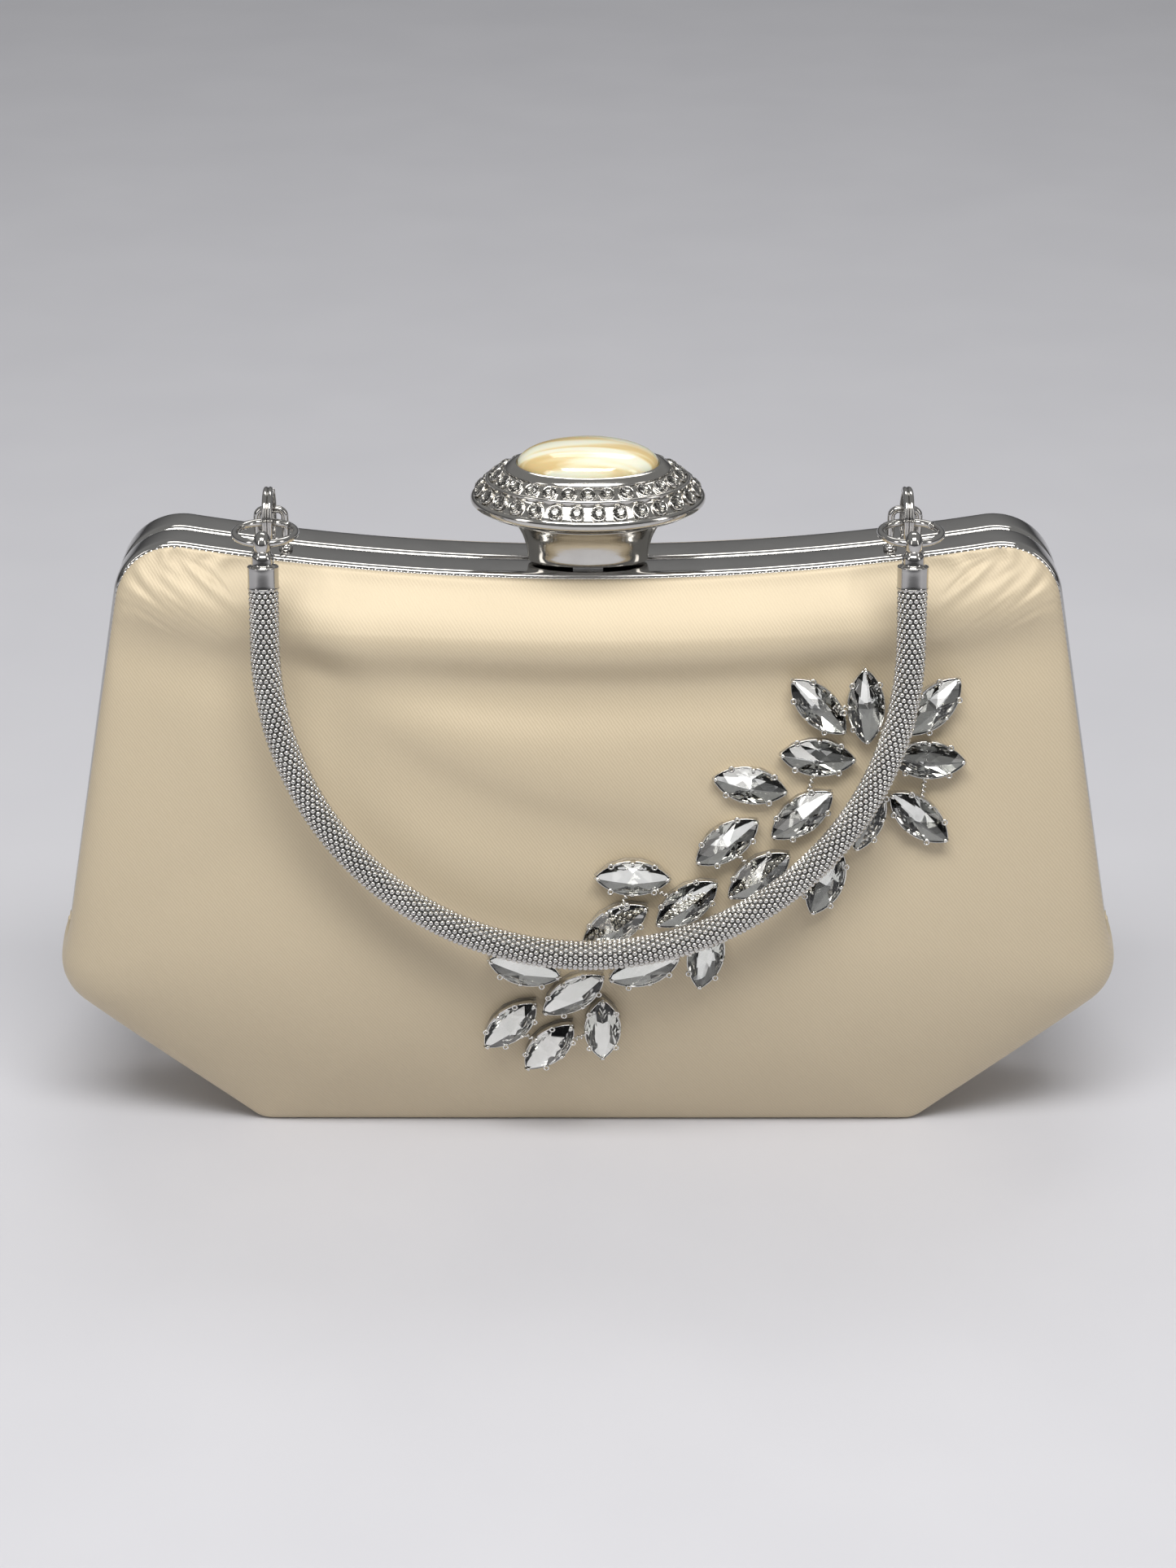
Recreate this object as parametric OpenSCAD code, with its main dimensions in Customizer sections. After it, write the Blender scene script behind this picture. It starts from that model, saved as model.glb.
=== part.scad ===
// Hard-shell evening bag. Two satin covered half shells sit in a polished metal frame that
// opens like a book on two side pins. A jewelled knob works the clasp, a beaded tube handle
// hangs from rings on the front half, and a spray of marquise crystals decorates the front.
// X runs to the right, -Y is the front and Z is up. The origin is the middle of the base.

/* [Body] */
// Height of the frame at the middle of its dipped top
top_height = 122; // [118:1:126]
// Half of the flat base's width
base_half_width = 69.5; // [66:0.5:73]
// Rise of the cut-off lower corners, degrees from level
corner_rise = 38.7; // [36:0.1:42]
// Radius of the widest corner, where cut-off corner and side meet
widest_corner_r = 11; // [9:0.5:13]
// Half of the body's depth where it is fullest
body_half_depth = 28; // [26:0.5:30]
// Height at which the body is fullest
fullest_height = 45; // [42:1:50]
// Half of the body's depth at the base
base_half_depth = 17.5; // [17:0.5:19]
// Half of the body's depth just under the frame
top_half_depth = 12.5; // [11.5:0.5:14]

/* [Layers] */
// Thickness of the padded satin cover
satin_t = 0.8; // [0.6:0.1:1]
// Thickness of the moulded half shell under the satin
shell_t = 1.6; // [1.2:0.1:2]
// Thickness of the lining
lining_t = 0.6; // [0.4:0.1:0.8]

/* [Frame] */
// Half width of the frame at the hinge pins
hinge_half_width = 108.5; // [106:0.5:110]
// Height of the hinge pins
hinge_height = 46; // [45:0.5:48]
// Lean of the frame's sides from upright, degrees
side_lean = 10.4; // [9:0.1:12]
// Radius of the frame's shoulders
shoulder_r = 13; // [11:0.5:15]
// Radius of the dip along the top
top_curve_r = 495; // [450:5:560]
// Depth of one frame half, front to back
frame_depth = 9; // [8.5:0.1:9.5]
// Thickness of the frame's metal
frame_t = 1.2; // [1:0.1:1.4]
// How far the front half opens, degrees
open_angle = 32; // [20:1:34]

/* [Clasp] */
// Half width of the knob's jewelled dish
dish_half_width = 23.5; // [21:0.5:26]
// Rhinestones in the lower row
lower_row_count = 28; // [20:1:30]
// Rhinestones in the upper row
upper_row_count = 26; // [18:1:26]
// Half width of the oval cabochon
cabochon_half_width = 14.3; // [12:0.1:15]

/* [Handle] */
// Half of the distance between the handle's two ends, and the radius of its round stretch
handle_half_width = 63.3; // [60:0.1:66]
// Diameter of the beaded tube
tube_d = 6; // [5:0.1:6]
// Straight stretch of tube below each end cap
handle_straight = 12.2; // [10:0.1:14]
// Forward lean of the hanging handle, degrees
handle_lean = 9; // [8.5:0.1:12]

/* [Spray] */
// Length of one marquise crystal
stone_length = 15; // [13:0.5:15]
// Width of one marquise crystal
stone_width = 7; // [6:0.5:7]

/* [Hidden] */
$fn = 48;

// Colours
satin_colour = [0.80, 0.71, 0.60];
chrome_colour = [0.62, 0.61, 0.60];
steel_colour = [0.75, 0.75, 0.76];
lining_colour = [0.72, 0.63, 0.52];
board_colour = [0.86, 0.84, 0.80];
crystal_colour = [0.88, 0.90, 0.92];
cabochon_colour = [0.88, 0.84, 0.68];

// Clearances
seam_gap = 0.15;       // half of the gap between the closed frame halves
cloth_gap = 0.3;       // between soft parts and pieces that move past them
pin_gap = 0.05;        // running clearance of the hinge and clasp pins
wedge_margin = 0.5;    // spare degrees each side of the gap below the pins

// Frame outline. Its sides lean in, its shoulders are arcs, and its top is one shallow arc
// that dips in the middle. An inset of i moves every stretch inwards by i.
side_out = [cos(side_lean), sin(side_lean)];
side_up = [-sin(side_lean), cos(side_lean)];
hinge_corner = [hinge_half_width, hinge_height];
top_centre = [0, top_height + top_curve_r];
shoulder_line = hinge_corner - shoulder_r * side_out;
from_top_centre = shoulder_line - top_centre;
up_share = from_top_centre * side_up;
shoulder_rise = -up_share - sqrt(up_share * up_share - from_top_centre * from_top_centre
    + pow(top_curve_r + shoulder_r, 2));
shoulder_centre = shoulder_line + shoulder_rise * side_up;
top_half_angle = asin(shoulder_centre[0] / (top_curve_r + shoulder_r));
shoulder_steps = 6;
top_steps = 6;

function side_point(inset, z) =
    [(hinge_corner * side_out - inset - side_out[1] * z) / side_out[0], z];
function shoulder_arc(inset) = [for (k = [0:shoulder_steps])
    let (a = side_lean + (90 + top_half_angle - side_lean) * k / shoulder_steps)
    shoulder_centre + (shoulder_r - inset) * [cos(a), sin(a)]];
function top_arc(inset, steps) = [for (k = [1:steps])
    let (a = top_half_angle * (1 - k / steps), r = top_curve_r + inset)
    [r * sin(a), top_centre[1] - r * cos(a)]];
function mirrored(points) = [for (k = [len(points) - 1:-1:0]) [-points[k][0], points[k][1]]];
function but_last(points) = [for (k = [0:len(points) - 2]) points[k]];
function turned(points) = [for (k = [len(points) - 1:-1:0]) points[k]];
function arch(inset, z) =
    let (half = concat([side_point(inset, z)], shoulder_arc(inset), top_arc(inset, 3 * top_steps)))
    concat(half, mirrored(but_last(half)));

// Body outline. The lower part is the flat base, the cut-off corner and the widest corner, and
// it ends on the side just below the hinge. The upper part follows the frame.
body_step = 0.8;       // the satin stands this far outside the frame below the hinge
body_tuck = 0.6;       // and this far inside the frame's outline above it
base_corner_r = 6;
ear_r = 4.5;
step_z = hinge_height - ear_r - cloth_gap;
chamfer_out = [sin(corner_rise), -cos(corner_rise)];
chamfer_c = chamfer_out[0] * base_half_width;
side_c = hinge_corner * side_out + body_step;
corner_steps = 3;
widest_steps = 5;

function meet(n, c, m, d) =
    [(c * m[1] - d * n[1]), (d * n[0] - c * m[0])] / (n[0] * m[1] - n[1] * m[0]);
function arc_about(centre, r, from, to, steps) = [for (k = [0:steps])
    let (a = from + (to - from) * k / steps) centre + r * [cos(a), sin(a)]];
base_corner_centre = meet([0, -1], -base_corner_r, chamfer_out, chamfer_c - base_corner_r);
widest_centre = meet(chamfer_out, chamfer_c - widest_corner_r, side_out,
    side_c - widest_corner_r);
function lower_outline(inset) = concat(
    [for (x = [0, 26, 50]) [x, inset]],
    arc_about(base_corner_centre, base_corner_r - inset, -90, corner_rise - 90, corner_steps),
    arc_about(widest_centre, widest_corner_r - inset, corner_rise - 90, side_lean, widest_steps),
    [side_point(inset - body_step, step_z)]);
function upper_outline(inset) = concat(
    [for (z = [step_z + 0.2, 62, 82, 100]) side_point(inset + body_tuck, z)],
    shoulder_arc(inset + body_tuck),
    top_arc(inset + body_tuck, top_steps));
lower_count = len(lower_outline(0));
function half_outline(inset) = concat(lower_outline(inset), upper_outline(inset));
function body_outline(inset) =
    let (half = half_outline(inset), side = [for (k = [1:len(half) - 2]) half[k]])
    concat(half, mirrored(side));
outline_count = len(body_outline(0));

// Depth of the body from the closing plane at height z
function depth_at(z) = z < fullest_height
    ? body_half_depth - (body_half_depth - base_half_depth)
        * pow((fullest_height - z) / fullest_height, 2)
    : body_half_depth - (body_half_depth - top_half_depth)
        * pow((z - fullest_height) / (top_height - fullest_height), 1.6);

// Below the pins the halves are cut back, so that they can turn towards each other
wedge_angle = open_angle / 2 + wedge_margin;
function wedge_at(z) = max(0, hinge_height - z) * tan(wedge_angle);
rim_y = frame_depth + 0.2;
function rim_at(point) = point[1] < step_z + 0.1 ? cloth_gap + wedge_at(point[1]) : rim_y;

// One curved face of a half shell: rings run from the rim to the middle of the front. Each
// ring is the outline shrunk towards shell_centre, and it stands further forward than the
// last by a superellipse, so the edges are round and the face is nearly flat.
shell_centre = [0, 62];
ring_turns = [0, 16, 32, 46, 58, 70, 80];
superellipse = 0.4;
function shell_point(rim, turn, inset) =
    let (shrink = pow(cos(turn), superellipse), rise = pow(sin(turn), superellipse),
        at = shell_centre + shrink * (rim - shell_centre), start = rim_at(rim))
    [at[0], -(start + (depth_at(at[1]) - inset - start) * rise), at[1]];
function shell_face(inset) = let (outline = body_outline(inset)) concat(
    [for (turn = ring_turns, rim = outline) shell_point(rim, turn, inset)],
    [[0, -(depth_at(shell_centre[1]) - inset), shell_centre[1]]]);

// A skin between two such faces, for the front half
module skin(outer, inner) {
    n = outline_count;
    last = len(ring_turns) - 1;
    size = n * (last + 1) + 1;
    function at(face, ring, k) = face * size + ring * n + k % n;
    polyhedron(concat(shell_face(outer), shell_face(inner)), concat(
        [for (r = [0:last - 1], k = [0:n - 1]) [at(0, r, k), at(0, r + 1, k), at(0, r + 1, k + 1)]],
        [for (r = [0:last - 1], k = [0:n - 1]) [at(0, r, k), at(0, r + 1, k + 1), at(0, r, k + 1)]],
        [for (k = [0:n - 1]) [at(0, last, k), size - 1, at(0, last, k + 1)]],
        [for (r = [0:last - 1], k = [0:n - 1]) [at(1, r, k), at(1, r + 1, k + 1), at(1, r + 1, k)]],
        [for (r = [0:last - 1], k = [0:n - 1]) [at(1, r, k), at(1, r, k + 1), at(1, r + 1, k + 1)]],
        [for (k = [0:n - 1]) [at(1, last, k), at(1, last, k + 1), 2 * size - 1]],
        [for (k = [0:n - 1]) [at(0, 0, k), at(0, 0, k + 1), at(1, 0, k + 1)]],
        [for (k = [0:n - 1]) [at(0, 0, k), at(1, 0, k + 1), at(1, 0, k)]]));
}
module front_satin() { color(satin_colour) skin(0, satin_t); }
module front_shell() { color(board_colour) skin(satin_t, satin_t + shell_t); }
module front_lining() {
    color(lining_colour) skin(satin_t + shell_t, satin_t + shell_t + lining_t);
}
module rear_satin() { mirror([0, 1, 0]) front_satin(); }
module rear_shell() { mirror([0, 1, 0]) front_shell(); }
module rear_lining() { mirror([0, 1, 0]) front_lining(); }

// Flat slip pocket on the rear lining, bent to the lining's curve
pocket_half_width = 45;
pocket_low = 34;
pocket_high = 88;
pocket_steps = 8;
pocket_clear = 1.4;
pocket_t = 0.8;
module inner_pocket() {
    stack = satin_t + shell_t + lining_t;
    function pocket_y(z, off) = depth_at(z) - stack - pocket_clear - off;
    heights = [for (k = [0:pocket_steps])
        pocket_low + (pocket_high - pocket_low) * k / pocket_steps];
    color(lining_colour) rotate([90, 0, 90])
        translate([0, 0, -pocket_half_width]) linear_extrude(2 * pocket_half_width)
            polygon(concat([for (z = heights) [pocket_y(z, 0), z]],
                turned([for (z = heights) [pocket_y(z, pocket_t), z]])));
}

// Strip of satin that closes the gap below the pins at one end, from base corner to hinge
module end_gusset() {
    points = [for (k = [3:lower_count - 1]) lower_outline(0)[k]];
    inner = [for (k = [3:lower_count - 1]) lower_outline(satin_t)[k]];
    n = len(points);
    function row(list, side) = [for (p = list) [p[0], side * wedge_at(p[1]), p[1]]];
    function q(a, b, c, d) = [[a, b, c], [a, c, d]];
    polyhedron(concat(row(points, -1), row(points, 1), row(inner, -1), row(inner, 1)), concat(
        [for (k = [0:n - 2]) each q(k, k + 1, n + k + 1, n + k)],
        [for (k = [0:n - 2]) each q(3 * n + k, 3 * n + k + 1, 2 * n + k + 1, 2 * n + k)],
        [for (k = [0:n - 2]) each q(2 * n + k, 2 * n + k + 1, k + 1, k)],
        [for (k = [0:n - 2]) each q(n + k, n + k + 1, 3 * n + k + 1, 3 * n + k)],
        q(0, n, 3 * n, 2 * n),
        q(3 * n - 1, 4 * n - 1, 2 * n - 1, n - 1)));
}
module right_gusset() { color(satin_colour) end_gusset(); }
module left_gusset() { color(satin_colour) mirror([1, 0, 0]) end_gusset(); }
base_gusset_t = 1.2;
module base_gusset() {
    half = lower_outline(0)[3][0] - 0.1;
    reach = wedge_at(base_gusset_t);
    color(satin_colour) translate([-half, -reach, 0]) cube([2 * half, 2 * reach, base_gusset_t]);
}

// Lining folded double inside each side above the pins: it opens into a V with the bag
fold_outer = 6.6;      // inset of the fold's outer edge, just clear of the frame's flanges
fold_inner = 20;
fold_half_t = 0.5;
module side_fold() {
    low = hinge_height + 6;
    high = 106;
    color(lining_colour) translate([0, fold_half_t, 0]) rotate([90, 0, 0])
        linear_extrude(2 * fold_half_t) polygon([side_point(fold_outer, low),
            side_point(fold_outer, high), side_point(fold_inner, high - 6),
            side_point(fold_inner, low + 12)]);
}
module right_side_fold() { side_fold(); }
module left_side_fold() { mirror([1, 0, 0]) side_fold(); }

// Frame: a channel with its web outside, a flange at the closing plane and a short lip
flange_reach = 6;
lip_reach = 2.6;
web_overlap = 0.6;
ear_t = 1.2;
ear_gap = 0.1;
pin_r = 1.3;
rear_ear_x = 104.7;
front_ear_x = rear_ear_x - ear_t - ear_gap;
module band(near, far, y_low, y_high) {
    translate([0, y_high, 0]) rotate([90, 0, 0]) linear_extrude(y_high - y_low)
        polygon(concat(arch(near, hinge_height), turned(arch(far, hinge_height))));
}
// The flange stops above the ears, so that the other half's ear can turn past it
ear_relief = 0.4;
module channel() {
    band(0, frame_t, -frame_depth, -seam_gap);
    difference() {
        band(web_overlap, flange_reach, -seam_gap - 1, -seam_gap);
        for (side = [-1, 1]) translate([side * (hinge_half_width - 7.6) - 5, -2, hinge_height - 1])
            cube([10, 2, 1 + ear_r + ear_relief]);
    }
    band(web_overlap, lip_reach, -frame_depth, -frame_depth + 1);
}
module disc(x, t, r) {
    translate([x, 0, hinge_height]) rotate([0, 90, 0]) cylinder(t, r, r);
}
// Ear of the front half: a disc inside the rear one, reached round the rear disc's edge
module front_ear() {
    disc(front_ear_x, ear_t, ear_r);
    translate([front_ear_x, -frame_depth, hinge_height]) cube([ear_t, frame_depth - 3.6, 8]);
    translate([front_ear_x, -frame_depth, hinge_height])
        cube([hinge_half_width - front_ear_x - 1.6, frame_depth - ear_r - 0.6, 6]);
}
// Ear of the rear half
module rear_ear() {
    disc(rear_ear_x, ear_t, ear_r);
    translate([rear_ear_x, seam_gap + 0.2, hinge_height])
        cube([hinge_half_width - rear_ear_x - 1.4, 4, 5]);
}
module front_frame() {
    color(chrome_colour) difference() {
        union() {
            channel();
            front_ear();
            mirror([1, 0, 0]) front_ear();
        }
        disc(-hinge_half_width, 2 * hinge_half_width, pin_r + pin_gap);
        translate([-stem_half_width - 0.5, -frame_depth + 0.8, top_height - 3])
            cube([2 * stem_half_width + 1, frame_depth - 3.7, 4]);
        translate([-arm_half_width - 0.5, -2.9, top_height - 10])
            cube([2 * arm_half_width + 1, 3, 10 - frame_t]);
    }
}
module rear_frame() {
    color(chrome_colour) difference() {
        union() {
            mirror([0, 1, 0]) channel();
            rear_ear();
            mirror([1, 0, 0]) rear_ear();
        }
        disc(-hinge_half_width, 2 * hinge_half_width, pin_r);
        translate([-arm_half_width - 0.5, 0, top_height - 10])
            cube([2 * arm_half_width + 1, 2, 10 - frame_t]);
    }
}
// Pins with flat heads on the inside, riveted in the rear ears
module hinge_pin() {
    disc(front_ear_x - 0.9, 0.8, 2.2);
    disc(front_ear_x - 0.9, rear_ear_x + ear_t - front_ear_x + 1.1, pin_r);
}
module hinge_pins() {
    color(steel_colour) {
        hinge_pin();
        mirror([1, 0, 0]) hinge_pin();
    }
}

// Clasp: a lever turns on a pin under the front half. Its arm reaches through both flanges
// and its hook drops behind a spring leaf on the rear half.
pivot_y = -7.2;
pivot_z = top_height - 5;
clasp_pin_r = 0.8;
stem_half_width = 3;
arm_half_width = 2.8;
arm_low = top_height - 7;
arm_high = top_height - 5.2;
hook_y = 1.9;
hook_drop = 2.2;
stem_lead = 0.6;        // the stem starts this far behind the pivot, so it can tilt forward
stem_back = -3.6;
knob_z = top_height + 0.5;
cheek_x = 5;
module cross(x, length, r) {
    translate([x, pivot_y, pivot_z]) rotate([0, 90, 0]) cylinder(length, r, r);
}
module latch_lever() {
    color(steel_colour) difference() {
        union() {
            cross(-stem_half_width, 2 * stem_half_width, 1.7);
            translate([-stem_half_width, pivot_y + stem_lead, arm_low])
                cube([2 * stem_half_width, stem_back - pivot_y - stem_lead, knob_z - arm_low]);
            translate([-arm_half_width, stem_back - 1, arm_low])
                cube([2 * arm_half_width, hook_y + 1 - stem_back + 1, arm_high - arm_low]);
            translate([-arm_half_width, hook_y, arm_low - hook_drop])
                cube([2 * arm_half_width, 1, hook_drop + 1]);
        }
        cross(-10, 20, clasp_pin_r + pin_gap);
    }
}
module clasp_bracket() {
    color(steel_colour) difference() {
        for (x = [-cheek_x - 1, cheek_x])
            translate([x, pivot_y - 0.7, pivot_z - 1.8])
                cube([1, 3.2, top_height - frame_t - pivot_z + 1.8]);
        cross(-10, 20, clasp_pin_r);
    }
}
module clasp_pin() { color(steel_colour) cross(-cheek_x - 1.4, 2 * cheek_x + 2.8, clasp_pin_r); }
// Return spring: round turns on the pin, either side of the lever
module clasp_spring() {
    color(steel_colour) for (x = [-4.5, -3.7, 3.7, 4.5])
        translate([x, pivot_y, pivot_z]) rotate([0, 90, 0])
            rotate_extrude() translate([1.25, 0]) circle(0.32);
}
leaf_half_width = 10;
leaf_low = top_height - 12;
leaf_top = arm_low - 0.9;
module catch_spring() {
    color(steel_colour) difference() {
        translate([-leaf_half_width, seam_gap + 1, leaf_low])
            cube([2 * leaf_half_width, 0.4, arm_high + 0.6 - leaf_low]);
        translate([-arm_half_width - 0.8, 0, leaf_top])
            cube([2 * arm_half_width + 1.6, 3, 10]);
    }
}

// Knob. Each piece is a stack of ovals: [half width, half depth, height above the frame].
knob_y = -2.25;
oval_steps = 40;
module oval_stack(rows) {
    n = oval_steps;
    last = len(rows) - 1;
    points = [for (row = rows, k = [0:n - 1])
        let (a = 360 * k / n) [row[0] * cos(a), row[1] * sin(a), row[2]]];
    translate([0, knob_y, top_height]) polyhedron(points, concat(
        [for (r = [0:last - 1], k = [0:n - 1])
            [r * n + k, (r + 1) * n + k, (r + 1) * n + (k + 1) % n]],
        [for (r = [0:last - 1], k = [0:n - 1])
            [r * n + k, (r + 1) * n + (k + 1) % n, r * n + (k + 1) % n]],
        [[for (k = [0:n - 1]) k]],
        [[for (k = [n - 1:-1:0]) last * n + k]]));
}
dish_half_depth = dish_half_width * 0.75;
module knob_base() {
    color(chrome_colour) oval_stack([[11.9, 4.9, 0.5], [12.1, 5.1, 2.5], [12.8, 5.7, 5],
        [14.3, 7.2, 8.5]]);
}
module knob_dish() {
    w = dish_half_width;
    d = dish_half_depth;
    color(chrome_colour) oval_stack([[14.3, 7.2, 8.5], [w - 3, d - 3, 11.6],
        [w - 0.4, d - 0.4, 12.9], [w, d, 13.8], [w - 0.6, d - 0.6, 14.7],
        [w - 3.2, d - 3, 17.4], [w - 3.7, d - 3.4, 18.2], [w - 7.1, d - 5.9, 20]]);
}
// Rhinestones stand square to the dish's two sloping rows. They are evenly spaced round the
// oval, so their turns are looked up from the length of the oval's edge up to each turn.
stone_r = 1.3;
stone_lift = 0.25;
module rhinestone_row(count, inset, low, lean) {
    w = dish_half_width - inset[0];
    d = dish_half_depth - inset[1];
    spots = [for (a = [0:3:360]) [w * cos(a), d * sin(a)]];
    steps = [for (k = [1:len(spots) - 1]) norm(spots[k] - spots[k - 1])];
    lengths = [for (k = 0, sum = 0; k < len(spots); sum = sum + (k < len(steps) ? steps[k] : 0),
        k = k + 1) [sum, 3 * k]];
    whole = lengths[len(lengths) - 1][0];
    for (k = [0:count - 1]) {
        a = lookup(whole * (k + 0.5) / count, lengths);
        translate([w * cos(a), knob_y + d * sin(a), top_height + low])
            rotate([0, 0, atan2(w * sin(a), d * cos(a))]) rotate([0, lean, 0])
            translate([0, 0, stone_lift]) cylinder(1, stone_r, stone_r * 0.6, $fn = 24);
    }
}
module lower_rhinestones() {
    color(crystal_colour) rhinestone_row(lower_row_count, [1.9, 1.8], 16.05, 47);
}
module upper_rhinestones() {
    color(crystal_colour) rhinestone_row(upper_row_count, [5.13, 4.45], 18.96, 32);
}
cabochon_ratio = 0.7;
cabochon_floor = 20.6;
girdle_z = 21.4;
dome_rise = 4.6;
module knob_bezel() {
    r = cabochon_half_width;
    d = r * cabochon_ratio;
    color(chrome_colour) difference() {
        oval_stack([[r + 2, d + 1.6, 20.05], [r + 2.1, d + 1.7, 20.4], [r + 1.2, d + 1, 21.3],
            [r, d, 21.5]]);
        oval_stack([[r, d, cabochon_floor], [r, d, girdle_z + 2]]);
    }
}
module cabochon() {
    r = cabochon_half_width;
    d = r * cabochon_ratio;
    color(cabochon_colour) oval_stack(concat([[r, d, cabochon_floor]],
        [for (a = [0:15:75]) [r * cos(a), d * cos(a), girdle_z + dome_rise * sin(a)]],
        [[r * 0.08, d * 0.08, girdle_z + dome_rise]]));
}

// Handle chain. Each loop is a stirrup on the front half. A split ring hangs on the loop's
// bar, a jump ring in the split ring, and the handle's eye on the jump ring.
loop_y = -4.7;
loop_bar_z = 134.2;
loop_wire_r = 0.75;
loop_half_width = 2.75;
loop_corner_r = 1.5;
split_wire_r = 0.55;
split_mean_r = 5.25;
jump_wire_r = 0.75;
jump_mean_r = 5.95;
ring_play = 0.3;
split_offset = split_mean_r - split_wire_r - loop_wire_r - ring_play;
jump_offset = split_mean_r - split_wire_r - jump_wire_r - ring_play;
split_y = loop_y - split_offset;
jump_y = split_y - jump_offset;
eye_y = jump_y - 2 * jump_mean_r;
module rod(length, r) { cylinder(length, r, r, $fn = 24); }
module handle_loop() {
    leg_low = top_height + 2;
    leg_high = loop_bar_z - loop_corner_r;
    bar = loop_half_width - loop_corner_r;
    for (side = [-1, 1]) translate([side * loop_half_width, 0, leg_low])
        rod(leg_high - leg_low, loop_wire_r);
    for (side = [0, 1]) mirror([side, 0, 0]) translate([bar, 0, leg_high]) rotate([90, 0, 0])
        rotate_extrude(angle = 90) translate([loop_corner_r, 0]) circle(loop_wire_r, $fn = 24);
    translate([-bar, 0, loop_bar_z]) rotate([0, 90, 0]) rod(2 * bar, loop_wire_r);
}
module at_handle_ends() {
    for (x = [-handle_half_width, handle_half_width]) translate([x, 0, 0]) children();
}
module handle_loops() {
    color(chrome_colour) difference() {
        at_handle_ends() translate([0, loop_y, 0]) handle_loop();
        band(0, flange_reach, -2 * frame_depth, 0);
    }
}
module split_rings() {
    color(chrome_colour) at_handle_ends() translate([0, split_y, loop_bar_z]) rotate([0, 90, 0])
        rotate_extrude() for (x = [-0.5, 0.5])
            translate([split_mean_r, x]) circle(split_wire_r, $fn = 24);
}
module jump_rings() {
    color(chrome_colour) at_handle_ends() translate([0, jump_y - jump_mean_r, loop_bar_z])
        rotate_extrude() translate([jump_mean_r, 0]) circle(jump_wire_r, $fn = 24);
}
// The handle hangs in its own frame: Z down from the eye, leaning forward
eye_r = 2.5;
eye_half_t = 1.7;
eye_hole_r = 1.05;
cap_length = 9;
sleeve_start = 4.4;
core_r = 1.6;
module in_handle() {
    translate([0, eye_y, loop_bar_z]) rotate([180 - handle_lean, 0, 0]) children();
}
module end_cap() {
    difference() {
        union() {
            intersection() {
                sphere(eye_r);
                translate([-eye_half_t, -5, -5]) cube([2 * eye_half_t, 10, 10]);
            }
            translate([0, 0, 1.9]) cylinder(sleeve_start - 1.9, eye_half_t, 2.2);
            translate([0, 0, sleeve_start]) cylinder(cap_length - sleeve_start, 3.03, 3.03);
        }
        rotate([0, 90, 0]) translate([0, 0, -5]) cylinder(10, eye_hole_r, eye_hole_r);
        translate([0, 0, cap_length - 2]) cylinder(3, core_r, core_r);
    }
}
module left_end_cap() {
    color(chrome_colour) in_handle() translate([-handle_half_width, 0, 0]) end_cap();
}
module right_end_cap() {
    color(chrome_colour) in_handle() translate([handle_half_width, 0, 0]) end_cap();
}
// One U-shaped bar with a straight stretch at each end
module u_bar(r, start) {
    bend = cap_length + handle_straight;
    at_handle_ends() translate([0, 0, start]) cylinder(bend - start, r, r);
    translate([0, 0, bend]) rotate([90, 0, 0])
        rotate_extrude(angle = 180) translate([handle_half_width, 0]) circle(r);
}
module handle_tube() {
    color(chrome_colour) in_handle() difference() {
        u_bar(tube_d / 2, cap_length);
        u_bar(core_r, cap_length - 1);
    }
}
module handle_core() { color(steel_colour) in_handle() u_bar(core_r, cap_length - 2); }

// Crystal spray, laid out by hand: [x, z, degrees of the stone's long axis]
SPRAY = [
    [46, 98, 135], [55.5, 98, 92], [69, 98, 48], [46, 88, 176], [68, 87.5, -3],
    [66.5, 76, -40], [56, 76.5, -105], [32.5, 82.5, 169], [43, 76.5, 38], [28, 71, 36],
    [34.5, 64, 37], [9, 63.5, -1], [20, 58, 37], [5.5, 53.5, 31], [24, 47, -100],
    [48, 63, -110], [11.5, 44, 20], [-13, 44, 165], [-3, 38, 36], [-16, 30.5, 47],
    [-8, 25, 51], [3, 29.5, 90]];
setting_t = 1.6;
stone_rise = 3.4;
backing_t = 0.3;
slope_step = 1;
function face_y(z) = -depth_at(z);
function face_tilt(z) = atan((face_y(z - slope_step) - face_y(z + slope_step)) / (2 * slope_step));
// Turns local Z to the front face's outward direction at height z
module on_face(x, z, angle, lift) {
    translate([x, face_y(z), z]) rotate([90 + face_tilt(z), 0, 0])
        translate([0, 0, lift]) rotate([0, 0, angle]) children();
}
// A pointed oval: two equal arcs through both points
marquise_steps = 5;
function marquise(length, width) =
    let (r = (length * length + width * width) / (4 * width), half = asin(length / (2 * r)),
        side = [for (k = [0:marquise_steps - 1]) let (a = -half + 2 * half * k / marquise_steps)
            [r * sin(a), r * cos(a) - r + width / 2]])
    concat([for (k = [0:marquise_steps - 1]) [-side[k][0], -side[k][1]]], side);
module marquise_stack(rows) {
    n = 2 * marquise_steps;
    last = len(rows) - 1;
    points = [for (row = rows) each [for (p = marquise(row[0], row[1])) [p[0], p[1], row[2]]]];
    polyhedron(points, concat(
        [for (r = [0:last - 1], k = [0:n - 1])
            [r * n + k, (r + 1) * n + k, (r + 1) * n + (k + 1) % n]],
        [for (r = [0:last - 1], k = [0:n - 1])
            [r * n + k, (r + 1) * n + (k + 1) % n, r * n + (k + 1) % n]],
        [[for (k = [0:n - 1]) k]],
        [[for (k = [n - 1:-1:0]) last * n + k]]));
}
module spray_stones() {
    color(crystal_colour) for (s = SPRAY) on_face(s[0], s[1], s[2], backing_t + setting_t)
        marquise_stack([[stone_length, stone_width, 0],
            [stone_length * 0.96, stone_width * 0.94, 0.8],
            [stone_length * 0.12, stone_width * 0.08, stone_rise]]);
}
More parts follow.
